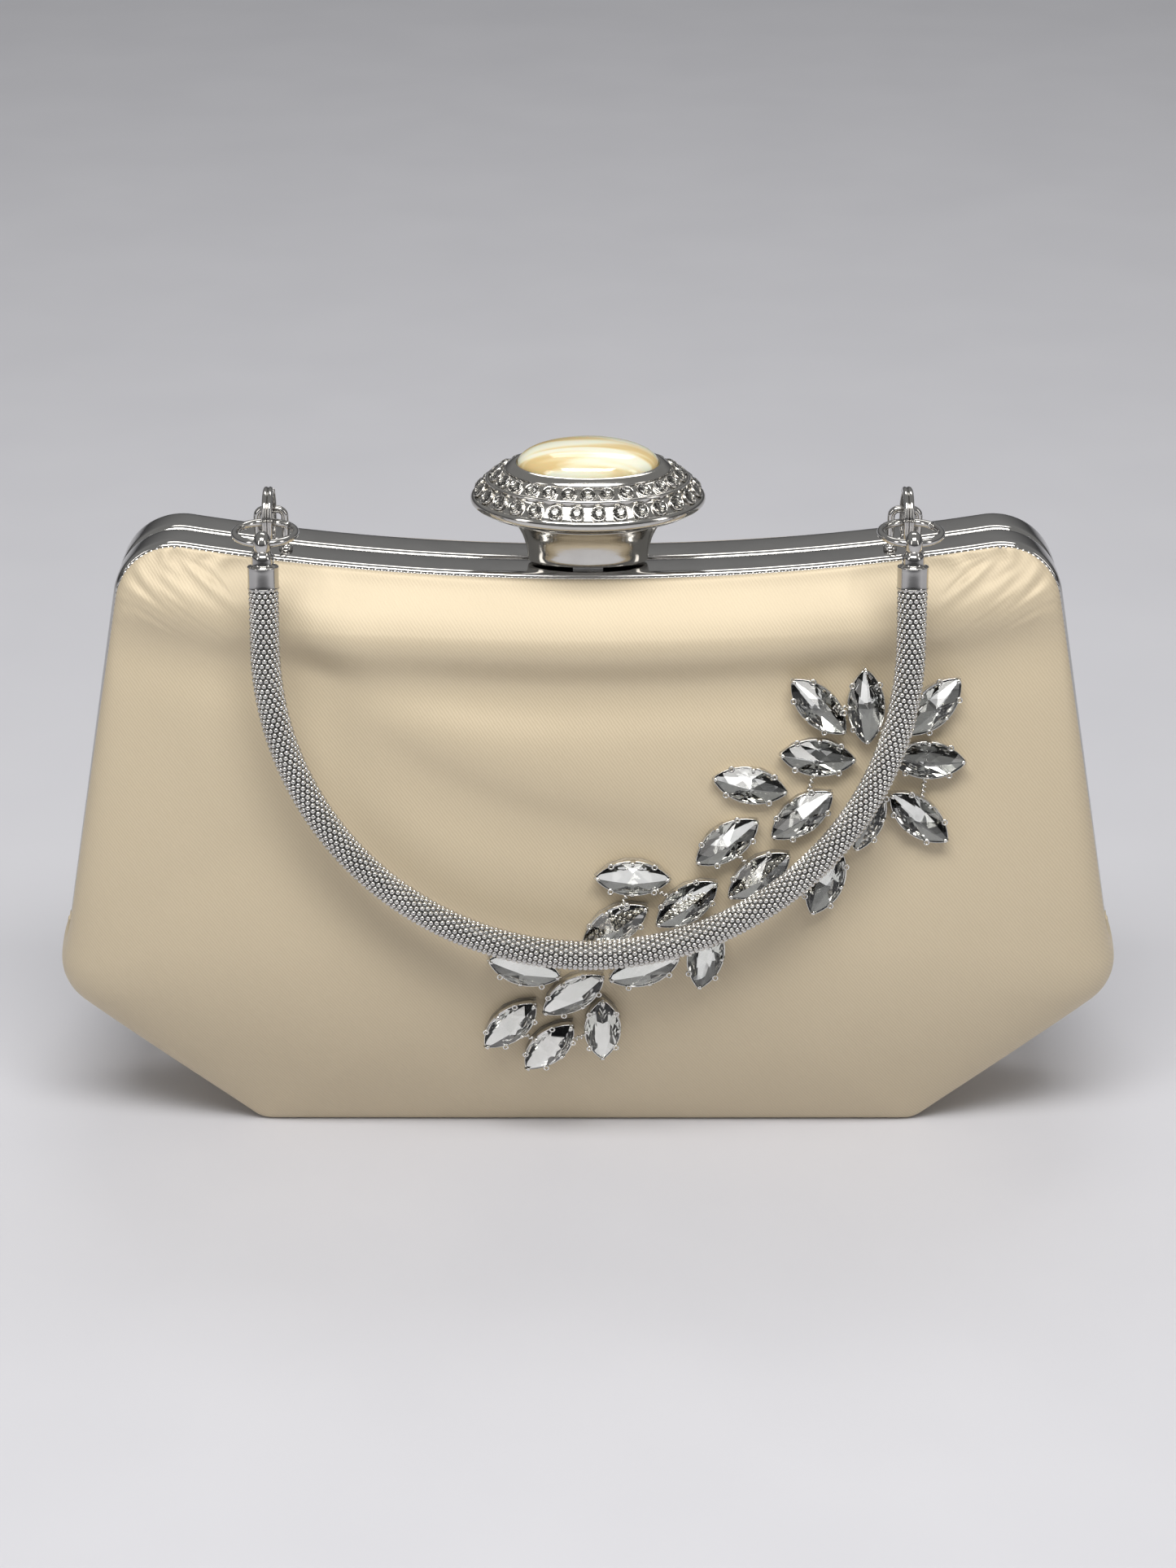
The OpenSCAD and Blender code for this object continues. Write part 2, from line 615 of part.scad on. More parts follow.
module spray_settings() {
    color(steel_colour) for (s = SPRAY) on_face(s[0], s[1], s[2], backing_t)
        marquise_stack([[stone_length - 1.5, stone_width - 1.5, 0],
            [stone_length + 0.6, stone_width + 0.6, setting_t]]);
}
// Clear film under the settings: one thin patch behind each stone
module spray_backing() {
    color([0.9, 0.88, 0.84]) for (s = SPRAY) on_face(s[0], s[1], s[2], 0)
        marquise_stack([[stone_length + 0.6, stone_width + 0.6, 0.02],
            [stone_length + 0.6, stone_width + 0.6, backing_t]]);
}

rear_frame();
rear_satin();
rear_shell();
rear_lining();
inner_pocket();
hinge_pins();
catch_spring();
base_gusset();
left_gusset();
right_gusset();
left_side_fold();
right_side_fold();
front_frame();
front_satin();
front_shell();
front_lining();
handle_loops();
clasp_bracket();
clasp_pin();
clasp_spring();
spray_backing();
spray_settings();
spray_stones();
latch_lever();
knob_base();
knob_dish();
lower_rhinestones();
upper_rhinestones();
knob_bezel();
cabochon();
split_rings();
jump_rings();
left_end_cap();
right_end_cap();
handle_tube();
handle_core();
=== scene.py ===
# %% [markdown]
# # A satin evening bag with a jewelled clasp
# The bag is a hard shell in two halves, covered in champagne satin and held in a polished
# frame. This notebook loads the measured model as a fixed frame, and then makes each visible
# piece as a surface worked out from a formula, with a material mixed from noise and waves.

# %% Load the measured model
import math

import bmesh
import bpy
import numpy as np
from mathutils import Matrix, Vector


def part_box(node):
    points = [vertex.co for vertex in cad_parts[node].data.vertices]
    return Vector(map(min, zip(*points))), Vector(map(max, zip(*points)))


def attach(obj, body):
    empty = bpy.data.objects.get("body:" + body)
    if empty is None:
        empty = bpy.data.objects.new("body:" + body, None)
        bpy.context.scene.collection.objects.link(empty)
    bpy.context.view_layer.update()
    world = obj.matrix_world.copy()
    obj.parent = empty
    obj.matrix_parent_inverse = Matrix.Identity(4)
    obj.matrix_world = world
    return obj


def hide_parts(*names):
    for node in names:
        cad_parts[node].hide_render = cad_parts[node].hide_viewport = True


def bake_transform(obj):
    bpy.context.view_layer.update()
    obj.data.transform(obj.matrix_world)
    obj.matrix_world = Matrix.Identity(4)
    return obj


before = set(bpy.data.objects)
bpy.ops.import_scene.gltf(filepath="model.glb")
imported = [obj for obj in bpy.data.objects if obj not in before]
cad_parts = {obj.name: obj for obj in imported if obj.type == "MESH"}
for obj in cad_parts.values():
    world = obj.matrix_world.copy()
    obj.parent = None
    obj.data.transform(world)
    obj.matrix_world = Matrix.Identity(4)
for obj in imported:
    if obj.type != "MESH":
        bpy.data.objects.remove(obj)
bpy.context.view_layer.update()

MM = 0.001

# %% [markdown]
# ## Camera, floor and light
# The bag is seen from the front and a little above, with a long lens that keeps its sides
# upright. A pale floor reaches past the picture on every side, so there is no horizon. Large
# soft lamps suit polished metal better than small hard ones, because metal shows the lamp's
# own shape. A sky that is pale above and dark at the horizon gives the metal something
# to mirror.

# %% Camera and floor
LOOK_AT = np.array([0.0, 0.0, 0.0715])
VIEW_ELEVATION = math.radians(25)
VIEW_DISTANCE = 0.70
LENS = 77

camera = bpy.data.objects.new("camera", bpy.data.cameras.new("camera"))
bpy.context.scene.collection.objects.link(camera)
camera.data.lens = LENS
camera.data.clip_start = 0.01
camera.location = LOOK_AT + VIEW_DISTANCE * np.array(
    [0, -math.cos(VIEW_ELEVATION), math.sin(VIEW_ELEVATION)])
camera.rotation_euler = (math.pi / 2 - VIEW_ELEVATION, 0, 0)
bpy.context.scene.camera = camera
print("camera at", [round(v, 3) for v in camera.location])


# %% Meshes from arrays
def grid_faces(rows, columns, wrap_rows=False, wrap_columns=False):
    """Four-cornered faces of a grid of rows x columns points, as numbers of its points."""
    i = np.arange(rows if wrap_rows else rows - 1)[:, None]
    j = np.arange(columns if wrap_columns else columns - 1)[None, :]
    i2, j2 = (i + 1) % rows, (j + 1) % columns
    corners = np.broadcast_arrays(i * columns + j, i * columns + j2,
                                  i2 * columns + j2, i2 * columns + j)
    return np.stack(corners, axis=-1).reshape(-1, 4)


def gather(parts):
    """Joins (points, faces) pairs into one pair, moving each part's numbers on."""
    counts = np.cumsum([0] + [len(points) for points, _ in parts])
    faces = [f + start for (_, f), start in zip(parts, counts)]
    return np.concatenate([points for points, _ in parts]), faces


def build(name, parts, smooth=True, merge=0.00001, outward=True):
    """A mesh object from (points in mm, faces) pairs. Doubles are merged, then closed shells
    get their faces turned outwards."""
    points, face_sets = gather(parts)
    mesh = bpy.data.meshes.new(name)
    corners = np.concatenate([f.ravel() for f in face_sets])
    sizes = np.concatenate([np.full(len(f), f.shape[1]) for f in face_sets])
    mesh.vertices.add(len(points))
    mesh.vertices.foreach_set("co", (points * MM).astype(np.float32).ravel())
    mesh.loops.add(len(corners))
    mesh.loops.foreach_set("vertex_index", corners.astype(np.int32))
    mesh.polygons.add(len(sizes))
    starts = np.concatenate([[0], np.cumsum(sizes)[:-1]])
    mesh.polygons.foreach_set("loop_start", starts.astype(np.int32))
    mesh.update(calc_edges=True)
    mesh.validate()
    work = bmesh.new()
    work.from_mesh(mesh)
    bmesh.ops.remove_doubles(work, verts=work.verts, dist=merge * MM * 100)
    bmesh.ops.dissolve_degenerate(work, edges=work.edges, dist=merge * MM * 10)
    if outward:
        bmesh.ops.recalc_face_normals(work, faces=work.faces)
    work.to_mesh(mesh)
    work.free()
    mesh.polygons.foreach_set("use_smooth", np.full(len(mesh.polygons), smooth))
    piece = bpy.data.objects.new(name, mesh)
    bpy.context.scene.collection.objects.link(piece)
    print(f"{name}: {len(mesh.polygons)} faces")
    return piece


def copies(shape, places, turns):
    """One shape (points, faces) repeated: copy k is turned by the 3x3 matrix turns[k], whose
    columns are the shape's own axes, and moved to places[k]."""
    points, faces = shape
    moved = np.einsum("kij,pj->kpi", turns, points) + places[:, None, :]
    steps = np.arange(len(places))[:, None, None] * len(points)
    return moved.reshape(-1, 3), (faces[None] + steps).reshape(-1, faces.shape[1])


def unit(v):
    """The same directions with length one."""
    return v / np.maximum(np.linalg.norm(v, axis=-1, keepdims=True), 1e-12)


# %% Floor
FLOOR_HALF = 4000
floor_points = np.array([[x, y, 0] for y in (-FLOOR_HALF, FLOOR_HALF)
                         for x in (-FLOOR_HALF, FLOOR_HALF)], float)
floor = build("floor", [(floor_points, grid_faces(2, 2))], outward=False)


# %% Lamps and sky
def soft_lamp(name, place, aim, width, height, power, colour):
    """A rectangle of light at place, turned to face aim. Distances are in metres."""
    lamp = bpy.data.objects.new(name, bpy.data.lights.new(name, "AREA"))
    lamp.data.shape = "RECTANGLE"
    lamp.data.size, lamp.data.size_y = width, height
    lamp.data.energy, lamp.data.color = power, colour
    lamp.location = place
    away = np.array(place, float) - np.array(aim, float)
    bpy.context.scene.collection.objects.link(lamp)
    heading = math.atan2(away[0], -away[1])
    tilt = math.atan2(math.hypot(away[0], away[1]), away[2])
    lamp.rotation_euler = (tilt, 0, heading)
    return lamp


soft_lamp("top_softbox", (0.0, -0.55, 1.1), (0, 0, 0.06), 1.0, 0.36, 13.2, (1, 0.985, 0.955))
soft_lamp("left_softbox", (-1.2, -0.9, 0.7), (0, 0, 0.05), 0.3, 0.9, 2.4, (1, 0.97, 0.94))
soft_lamp("right_softbox", (1.3, -0.7, 0.6), (0, 0, 0.05), 0.26, 0.9, 2.0, (1, 0.97, 0.94))
soft_lamp("back_softbox", (0.1, 0.9, 1.5), (0, 0, 0.06), 1.2, 0.4, 5, (1, 0.98, 0.95))

SKY_HORIZON = (0.22, 0.22, 0.23, 1)
SKY_MIDDLE = (1.0, 1.0, 1.0, 1)
SKY_TOP = (1.0, 1.0, 0.98, 1)
world = bpy.data.worlds.new("studio")
bpy.context.scene.world = world
world.use_nodes = True
sky = world.node_tree
sky_place = sky.nodes.new("ShaderNodeTexCoord")
sky_split = sky.nodes.new("ShaderNodeSeparateXYZ")
sky_ramp = sky.nodes.new("ShaderNodeValToRGB")
sky.links.new(sky_place.outputs["Generated"], sky_split.inputs[0])
sky.links.new(sky_split.outputs["Z"], sky_ramp.inputs["Fac"])
sky.links.new(sky_ramp.outputs["Color"], sky.nodes["Background"].inputs["Color"])
sky_ramp.color_ramp.elements[0].color = SKY_HORIZON
sky_ramp.color_ramp.elements[1].color = SKY_TOP
sky_ramp.color_ramp.elements.new(0.4).color = SKY_MIDDLE
sky.nodes["Background"].inputs["Strength"].default_value = 0.26
bpy.context.scene.view_settings.view_transform = "Standard"
print("4 lamps and a graded sky")


# %% [markdown]
# ## Materials
# Each finish is a Principled shader fed by shared node groups. A group only works out values
# that change over the surface, such as the satin's fine diagonal threads or the faint
# smears on handled metal, and the shader itself stays in the material.

# %% Node helpers
def new_group(name, inputs, outputs):
    """A shader node group with named number inputs and named outputs."""
    group = bpy.data.node_groups.new(name, "ShaderNodeTree")
    for label, value in inputs:
        socket = group.interface.new_socket(label, in_out="INPUT", socket_type="NodeSocketFloat")
        socket.default_value = value
    for label in outputs:
        group.interface.new_socket(label, in_out="OUTPUT", socket_type="NodeSocketFloat")
    return group, group.nodes.new("NodeGroupInput"), group.nodes.new("NodeGroupOutput")


def node_in(tree, kind, links=(), **values):
    """A node of that kind, its sockets set by name, and its inputs linked."""
    made = tree.nodes.new(kind)
    for key, value in values.items():
        setattr(made, key, value)
    for socket, source in links:
        if hasattr(source, "is_output"):
            tree.links.new(source, made.inputs[socket])
        else:
            made.inputs[socket].default_value = source
    return made


def maths(tree, operation, a, b=0.0, clamp=False):
    """The result socket of one Math node."""
    return node_in(tree, "ShaderNodeMath", [(0, a), (1, b)], operation=operation,
                   use_clamp=clamp).outputs[0]


# %% Thread group: the satin weave's fine diagonal lines
threads, t_in, t_out = new_group("satin threads", [("Threads per metre", 2600), ("Slub", 0.5)],
                                 ["Height", "Shade"])
t_place = node_in(threads, "ShaderNodeTexCoord").outputs["Object"]
t_turn = node_in(threads, "ShaderNodeMapping", [("Vector", t_place)])
t_turn.inputs["Rotation"].default_value = (0, math.radians(38), 0)
t_wave = node_in(threads, "ShaderNodeTexWave", [
    ("Vector", t_turn.outputs[0]), ("Distortion", 2.2), ("Detail", 2.0), ("Detail Scale", 1.5)])
t_scale = maths(threads, "MULTIPLY", t_in.outputs["Threads per metre"], 0.31416)
threads.links.new(t_scale, t_wave.inputs["Scale"])
t_noise = node_in(threads, "ShaderNodeTexNoise", [
    ("Vector", t_place), ("Scale", 1500.0), ("Detail", 3.0), ("Roughness", 0.6)])
t_slub = maths(threads, "MULTIPLY", t_noise.outputs["Fac"], t_in.outputs["Slub"])
t_both = maths(threads, "ADD", t_wave.outputs["Fac"], t_slub)
threads.links.new(t_both, t_out.inputs["Height"])
threads.links.new(maths(threads, "MULTIPLY", t_both, 0.66, clamp=True), t_out.inputs["Shade"])

# %% Smear group: faint smudges and hair scratches on handled metal
smears, s_in, s_out = new_group("metal smears", [("Low", 0.06), ("High", 0.16)],
                                ["Roughness", "Mask", "Scratch"])
s_place = node_in(smears, "ShaderNodeTexCoord").outputs["Object"]
s_noise = node_in(smears, "ShaderNodeTexNoise", [
    ("Vector", s_place), ("Scale", 90.0), ("Detail", 4.0), ("Roughness", 0.65)])
s_mask = node_in(smears, "ShaderNodeMapRange", [
    ("Value", s_noise.outputs["Fac"]), ("From Min", 0.35), ("From Max", 0.75)]).outputs[0]
s_span = maths(smears, "SUBTRACT", s_in.outputs["High"], s_in.outputs["Low"])
s_rough = maths(smears, "ADD", maths(smears, "MULTIPLY", s_mask, s_span), s_in.outputs["Low"])
s_stretch = node_in(smears, "ShaderNodeMapping", [("Vector", s_place)])
s_stretch.inputs["Scale"].default_value = (1.0, 6.0, 14.0)
s_hair = node_in(smears, "ShaderNodeTexNoise", [
    ("Vector", s_stretch.outputs[0]), ("Scale", 420.0), ("Detail", 2.0)])
smears.links.new(s_rough, s_out.inputs["Roughness"])
smears.links.new(s_mask, s_out.inputs["Mask"])
smears.links.new(s_hair.outputs["Fac"], s_out.inputs["Scratch"])


# %% Material helper
def new_material(name, colour, **settings):
    """A material with one Principled shader. Settings are its sockets by name."""
    material = bpy.data.materials.new(name)
    material.use_nodes = True
    shader = material.node_tree.nodes["Principled BSDF"]
    shader.inputs["Base Color"].default_value = (*colour, 1)
    for socket, value in settings.items():
        shader.inputs[socket.replace("_", " ")].default_value = value
    return material, material.node_tree, shader


def use_group(tree, group, **values):
    """A shared group placed in a material, with its inputs set by name."""
    made = tree.nodes.new("ShaderNodeGroup")
    made.node_tree = group
    for key, value in values.items():
        made.inputs[key.replace("_", " ")].default_value = value
    return made


def mixed(tree, factor, first, second):
    """A colour that goes from first to second with factor."""
    mix = node_in(tree, "ShaderNodeMix", data_type="RGBA")
    mix.inputs[6].default_value = (*first, 1)
    mix.inputs[7].default_value = (*second, 1)
    tree.links.new(factor, mix.inputs[0])
    return mix.outputs[2]


def bump(tree, shader, height, strength, distance):
    """Tips the shader's normal by the slope of height, which is distance metres at most."""
    made = node_in(tree, "ShaderNodeBump", [("Height", height), ("Strength", strength),
                                            ("Distance", distance)])
    tree.links.new(made.outputs[0], shader.inputs["Normal"])


# %% Satin: two tones of champagne, fine threads and a soft sheen
def satin_material(name, pale, deep, threads_per_metre, sheen):
    """Woven cloth: colour runs from deep to pale with the threads and a slow cloud of noise."""
    material, tree, shader = new_material(
        name, pale, Sheen_Weight=sheen, Sheen_Roughness=0.35, Specular_IOR_Level=0.3,
        Metallic=0.16)
    weave = use_group(tree, threads, Threads_per_metre=threads_per_metre)
    place = node_in(tree, "ShaderNodeTexCoord").outputs["Object"]
    cloud = node_in(tree, "ShaderNodeTexNoise", [
        ("Vector", place), ("Scale", 14.0), ("Detail", 3.0), ("Roughness", 0.5)])
    tone = maths(tree, "ADD", maths(tree, "MULTIPLY", weave.outputs["Shade"], 0.55),
                 maths(tree, "MULTIPLY", cloud.outputs["Fac"], 0.45), clamp=True)
    tree.links.new(mixed(tree, tone, deep, pale), shader.inputs["Base Color"])
    rough = maths(tree, "ADD", maths(tree, "MULTIPLY", weave.outputs["Height"], 0.08), 0.44)
    tree.links.new(rough, shader.inputs["Roughness"])
    bump(tree, shader, weave.outputs["Height"], 0.15, 0.0001)
    return material


SATIN = satin_material("champagne satin", (0.68, 0.585, 0.425), (0.53, 0.44, 0.31), 1800, 0.05)
LINING = satin_material("lining cloth", (0.56, 0.45, 0.33), (0.44, 0.34, 0.24), 1500, 0.15)


# %% Polished metal, in a few versions
def metal_material(name, colour, low, high, scratch=0.05):
    """Polished metal whose roughness goes from low to high with the smears."""
    material, tree, shader = new_material(name, colour, Metallic=1.0)
    marks = use_group(tree, smears, Low=low, High=high)
    dull = tuple(0.86 * c for c in colour)
    tree.links.new(mixed(tree, marks.outputs["Mask"], colour, dull), shader.inputs["Base Color"])
    tree.links.new(marks.outputs["Roughness"], shader.inputs["Roughness"])
    bump(tree, shader, marks.outputs["Scratch"], scratch, 0.00005)
    return material


CHROME = metal_material("polished frame metal", (0.60, 0.59, 0.575), 0.06, 0.16)
KNOB_METAL = metal_material("cast knob metal", (0.62, 0.605, 0.575), 0.06, 0.18, 0.12)
BEAD_METAL = metal_material("beaded tube metal", (0.68, 0.67, 0.65), 0.06, 0.16)
# Near-black metal for the handle's inner tube: its colour is painted shade in the gaps between the
# beads.
GAP_SHADE_METAL = metal_material("painted gap shade metal", (0.07, 0.07, 0.068), 0.3, 0.5)
STEEL = metal_material("plain steel", (0.56, 0.56, 0.56), 0.22, 0.38, 0.15)
CLAW_METAL = metal_material("claw metal", (0.80, 0.79, 0.76), 0.06, 0.16, 0.1)
FOIL = metal_material("crystal foil", (0.98, 0.98, 0.96), 0.02, 0.08, 0.02)

# %% Crystal: clear cut glass with faint handling haze
CRYSTAL, c_tree, c_shader = new_material("clear crystal", (0.99, 0.99, 0.98), IOR=1.56,
                                         Transmission_Weight=1.0)
c_marks = use_group(c_tree, smears, Low=0.0, High=0.04)
c_tree.links.new(c_marks.outputs["Roughness"], c_shader.inputs["Roughness"])
c_tree.links.new(mixed(c_tree, c_marks.outputs["Mask"], (1.0, 1.0, 0.99), (0.97, 0.98, 0.96)),
                 c_shader.inputs["Base Color"])

# %% Clear film behind the settings
FILM, f_tree, f_shader = new_material("clear film", (0.9, 0.88, 0.84), IOR=1.45,
                                      Transmission_Weight=0.85)
f_marks = use_group(f_tree, smears, Low=0.08, High=0.25)
f_tree.links.new(f_marks.outputs["Roughness"], f_shader.inputs["Roughness"])
f_tree.links.new(mixed(f_tree, f_marks.outputs["Mask"], (0.92, 0.9, 0.86), (0.82, 0.79, 0.72)),
                 f_shader.inputs["Base Color"])

# %% Banded resin of the oval cabochon
CABOCHON, b_tree, b_shader = new_material(
    "banded cream resin", (0.8, 0.75, 0.58), Roughness=0.08, Coat_Weight=0.6, Coat_Roughness=0.02,
    Subsurface_Weight=0.15, Subsurface_Scale=0.004, IOR=1.5)
b_place = node_in(b_tree, "ShaderNodeTexCoord").outputs["Object"]
b_stretch = node_in(b_tree, "ShaderNodeMapping", [("Vector", b_place)])
b_stretch.inputs["Scale"].default_value = (0.10, 1.0, 0.6)
b_bands = node_in(b_tree, "ShaderNodeTexNoise", [
    ("Vector", b_stretch.outputs[0]), ("Scale", 230.0), ("Detail", 2.0), ("Roughness", 0.5),
    ("Distortion", 0.35)])
b_ramp = node_in(b_tree, "ShaderNodeValToRGB", [("Fac", b_bands.outputs["Fac"])])
b_ramp.color_ramp.elements[0].position = 0.43
b_ramp.color_ramp.elements[0].color = (0.66, 0.50, 0.24, 1)
b_ramp.color_ramp.elements[1].position = 0.59
b_ramp.color_ramp.elements[1].color = (0.80, 0.80, 0.66, 1)
b_ramp.color_ramp.elements.new(0.49).color = (0.74, 0.62, 0.36, 1)
b_ramp.color_ramp.elements.new(0.535).color = (0.80, 0.75, 0.53, 1)
b_tree.links.new(b_ramp.outputs["Color"], b_shader.inputs["Base Color"])

# %% Hidden shell board and the floor's paper
BOARD, o_tree, o_shader = new_material("moulded shell", (0.8, 0.78, 0.74))
o_marks = use_group(o_tree, smears, Low=0.45, High=0.6)
o_tree.links.new(o_marks.outputs["Roughness"], o_shader.inputs["Roughness"])
o_tree.links.new(mixed(o_tree, o_marks.outputs["Mask"], (0.8, 0.78, 0.74), (0.7, 0.68, 0.64)),
                 o_shader.inputs["Base Color"])

PAPER, p_tree, p_shader = new_material("pale floor", (0.6, 0.6, 0.64), Roughness=0.7)
p_noise = node_in(p_tree, "ShaderNodeTexNoise", [
    ("Vector", node_in(p_tree, "ShaderNodeTexCoord").outputs["Object"]), ("Scale", 18.0)])
p_tree.links.new(mixed(p_tree, p_noise.outputs["Fac"], (0.58, 0.585, 0.63), (0.63, 0.635, 0.68)),
                 p_shader.inputs["Base Color"])
floor.data.materials.append(PAPER)
print(len(bpy.data.materials), "materials,", len(bpy.data.node_groups), "shared groups")


# %% [markdown]
# ## The bag's outline
# Frame, satin and lining all follow one outline: a flat base, cut-off lower corners, sides
# that lean in, round shoulders and a long shallow dip along the top. It is a chain of straight
# lines and arcs, so moving it inwards by any amount only changes the arcs' radii.

# %% Outline sizes, in millimetres, measured on the loaded model where it shows them
top_height = 122.0
hinge_half_width, hinge_height = 108.5, 46.0
side_lean = math.radians(10.4)
shoulder_r, top_curve_r = 13.0, 495.0
base_half_width, corner_rise = 69.5, math.radians(38.7)
base_corner_r, widest_corner_r = 6.0, 11.0
body_step, body_tuck, step_z = 0.8, 0.6, 41.2
half_depth, fullest_height, base_half_depth, top_half_depth = 28.0, 45.0, 17.5, 12.5
frame_depth = 9.0
EAR_R = 4.5
wedge_angle = math.radians(16.5)

side_out = np.array([math.cos(side_lean), math.sin(side_lean)])
side_up = np.array([-side_out[1], side_out[0]])
hinge_corner = np.array([hinge_half_width, hinge_height])
top_centre = np.array([0, top_height + top_curve_r])
shoulder_line = hinge_corner - shoulder_r * side_out
reach = shoulder_line - top_centre
along = reach @ side_up
shoulder_rise = -along - math.sqrt(along ** 2 - reach @ reach + (top_curve_r + shoulder_r) ** 2)
shoulder_centre = shoulder_line + shoulder_rise * side_up
top_half_angle = math.asin(shoulder_centre[0] / (top_curve_r + shoulder_r))
chamfer_out = np.array([math.sin(corner_rise), -math.cos(corner_rise)])


def meet(n, c, m, d):
    """Where the lines n.p = c and m.p = d cross."""
    return np.linalg.solve(np.array([n, m]), np.array([c, d]))


def arc(centre, r, start, end, count):
    """count points and their outward directions on an arc, from angle start to end."""
    a = np.linspace(start, end, count)
    out = np.stack([np.cos(a), np.sin(a)], axis=1)
    return centre + r * out, out


def line(a, b, out, count):
    """count points on the straight line from a to b, all with the outward direction out."""
    t = np.linspace(0, 1, count)[:, None]
    return a + (b - a) * t, np.broadcast_to(out, (count, 2))


def side_at(inset, z):
    """The point at height z on the leaning side line, moved inwards by inset."""
    return np.array([(hinge_corner @ side_out - inset - side_out[1] * z) / side_out[0], z])


def frame_half(low, fine):
    """Right half of the frame's outer line, from height low up to the middle of the top, with
    the outward direction at each point: a leaning line, a shoulder arc, then the long arc."""
    shoulder_end = shoulder_centre + shoulder_r * side_out
    side = line(side_at(0, low), shoulder_end, side_out, 14 * fine)
    bend = arc(shoulder_centre, shoulder_r, side_lean, math.pi / 2 + top_half_angle, 14 * fine)
    a = np.linspace(top_half_angle, 0, 26 * fine)
    down = np.stack([-np.sin(a), np.cos(a)], axis=1)
    top = (top_centre - top_curve_r * down, down)
    return (np.concatenate([part[0][(k > 0):] for k, part in enumerate((side, bend, top))]),
            np.concatenate([part[1][(k > 0):] for k, part in enumerate((side, bend, top))]))


def both_halves(half):
    """Adds the mirrored left half to a right half that ends in the middle."""
    points, out = half
    flip = np.array([-1, 1])
    return (np.concatenate([points, points[-2::-1] * flip]),
            np.concatenate([out, out[-2::-1] * flip]))


chamfer_c = chamfer_out[0] * base_half_width
side_c = hinge_corner @ side_out + body_step
base_corner = meet([0, -1], -base_corner_r, chamfer_out, chamfer_c - base_corner_r)
widest_corner = meet(chamfer_out, chamfer_c - widest_corner_r, side_out,
                     side_c - widest_corner_r)


def body_outline(inset, fine):
    """The body's closed outline, starting at the middle of the base and going right and up:
    base, base corner, cut-off corner, widest corner, then the frame's line moved inwards."""
    level = np.array([0, -1.0])
    first = arc(base_corner, base_corner_r - inset, -math.pi / 2, corner_rise - math.pi / 2,
                5 * fine)
    second = arc(widest_corner, widest_corner_r - inset, corner_rise - math.pi / 2, side_lean,
                 9 * fine)
    base = line(np.array([0, inset]), first[0][0], level, 14 * fine)
    slope = line(first[0][-1], second[0][0], chamfer_out, 9 * fine)
    points, out = frame_half(step_z + 0.2 + side_out[1] * (inset + body_tuck), fine)
    upper = (points - (inset + body_tuck) * out, out)
    ankle = (side_at(inset - body_step, step_z)[None], side_out[None])
    right = [base, first, slope, second, ankle, upper]
    points = np.concatenate([part[0][(0 < k < 4):] for k, part in enumerate(right)])
    out = np.concatenate([part[1][(0 < k < 4):] for k, part in enumerate(right)])
    flip = np.array([-1, 1])
    return (np.concatenate([points, points[-2:0:-1] * flip]),
            np.concatenate([out, out[-2:0:-1] * flip]))


def depth_at(z):
    """Half depth of the body at height z: fullest a third of the way up, less at both ends."""
    low = half_depth - (half_depth - base_half_depth) * (
        np.clip(fullest_height - z, 0, None) / fullest_height) ** 2
    high = half_depth - (half_depth - top_half_depth) * (
        np.clip(z - fullest_height, 0, None) / (top_height - fullest_height)) ** 1.6
    return np.where(z < fullest_height, low, high)


print("shoulder centre", shoulder_centre.round(2), "widest corner", widest_corner.round(2))

# %% [markdown]
# ## Satin covers
# On the real bag the satin is glued over a thin layer of foam on a moulded shell, and its edge
# is pushed under the frame. That leaves a puffed roll below the frame, a soft valley under the
# roll, small pleats at the shoulders and a few lazy creases. Each face is one surface: rings
# shrink from the outline to the middle while they stand further forward by a superellipse, and
# the roll, valley and creases are added as smooth waves. A cloth simulation would lose the
# sharp line at the frame, so the waves are placed one by one.

# %% Shape of a half shell
SHELL_CENTRE = np.array([0.0, 62.0])
OVAL_REACH = np.array([113.0, 64.0])
POWER = 5.0
DEEPEST = 1.35
FADE_RING = 30.0


def ring_steps(edge_rings, face_rings):
    """(shrink, rise) of each ring on the curve shrink^p + rise^p = 1, edge first."""
    rise = np.linspace(0, 0.93, edge_rings) ** 1.3
    shrink = (1 - rise ** POWER) ** (1 / POWER)
    inner = np.linspace(shrink[-1], 0, face_rings + 1)[1:]
    return (np.concatenate([shrink, inner]),
            np.concatenate([rise, (1 - inner ** POWER) ** (1 / POWER)]))


def top_line(x):
    """Height of the frame's long top arc at x: a circle seen from below its centre."""
    return top_centre[1] - np.sqrt(top_curve_r ** 2 - x ** 2)


def bell(distance, width):
    """A smooth bump: one at distance zero, falling as e to minus (distance / width) squared."""
    return np.exp(-(distance / width) ** 2)


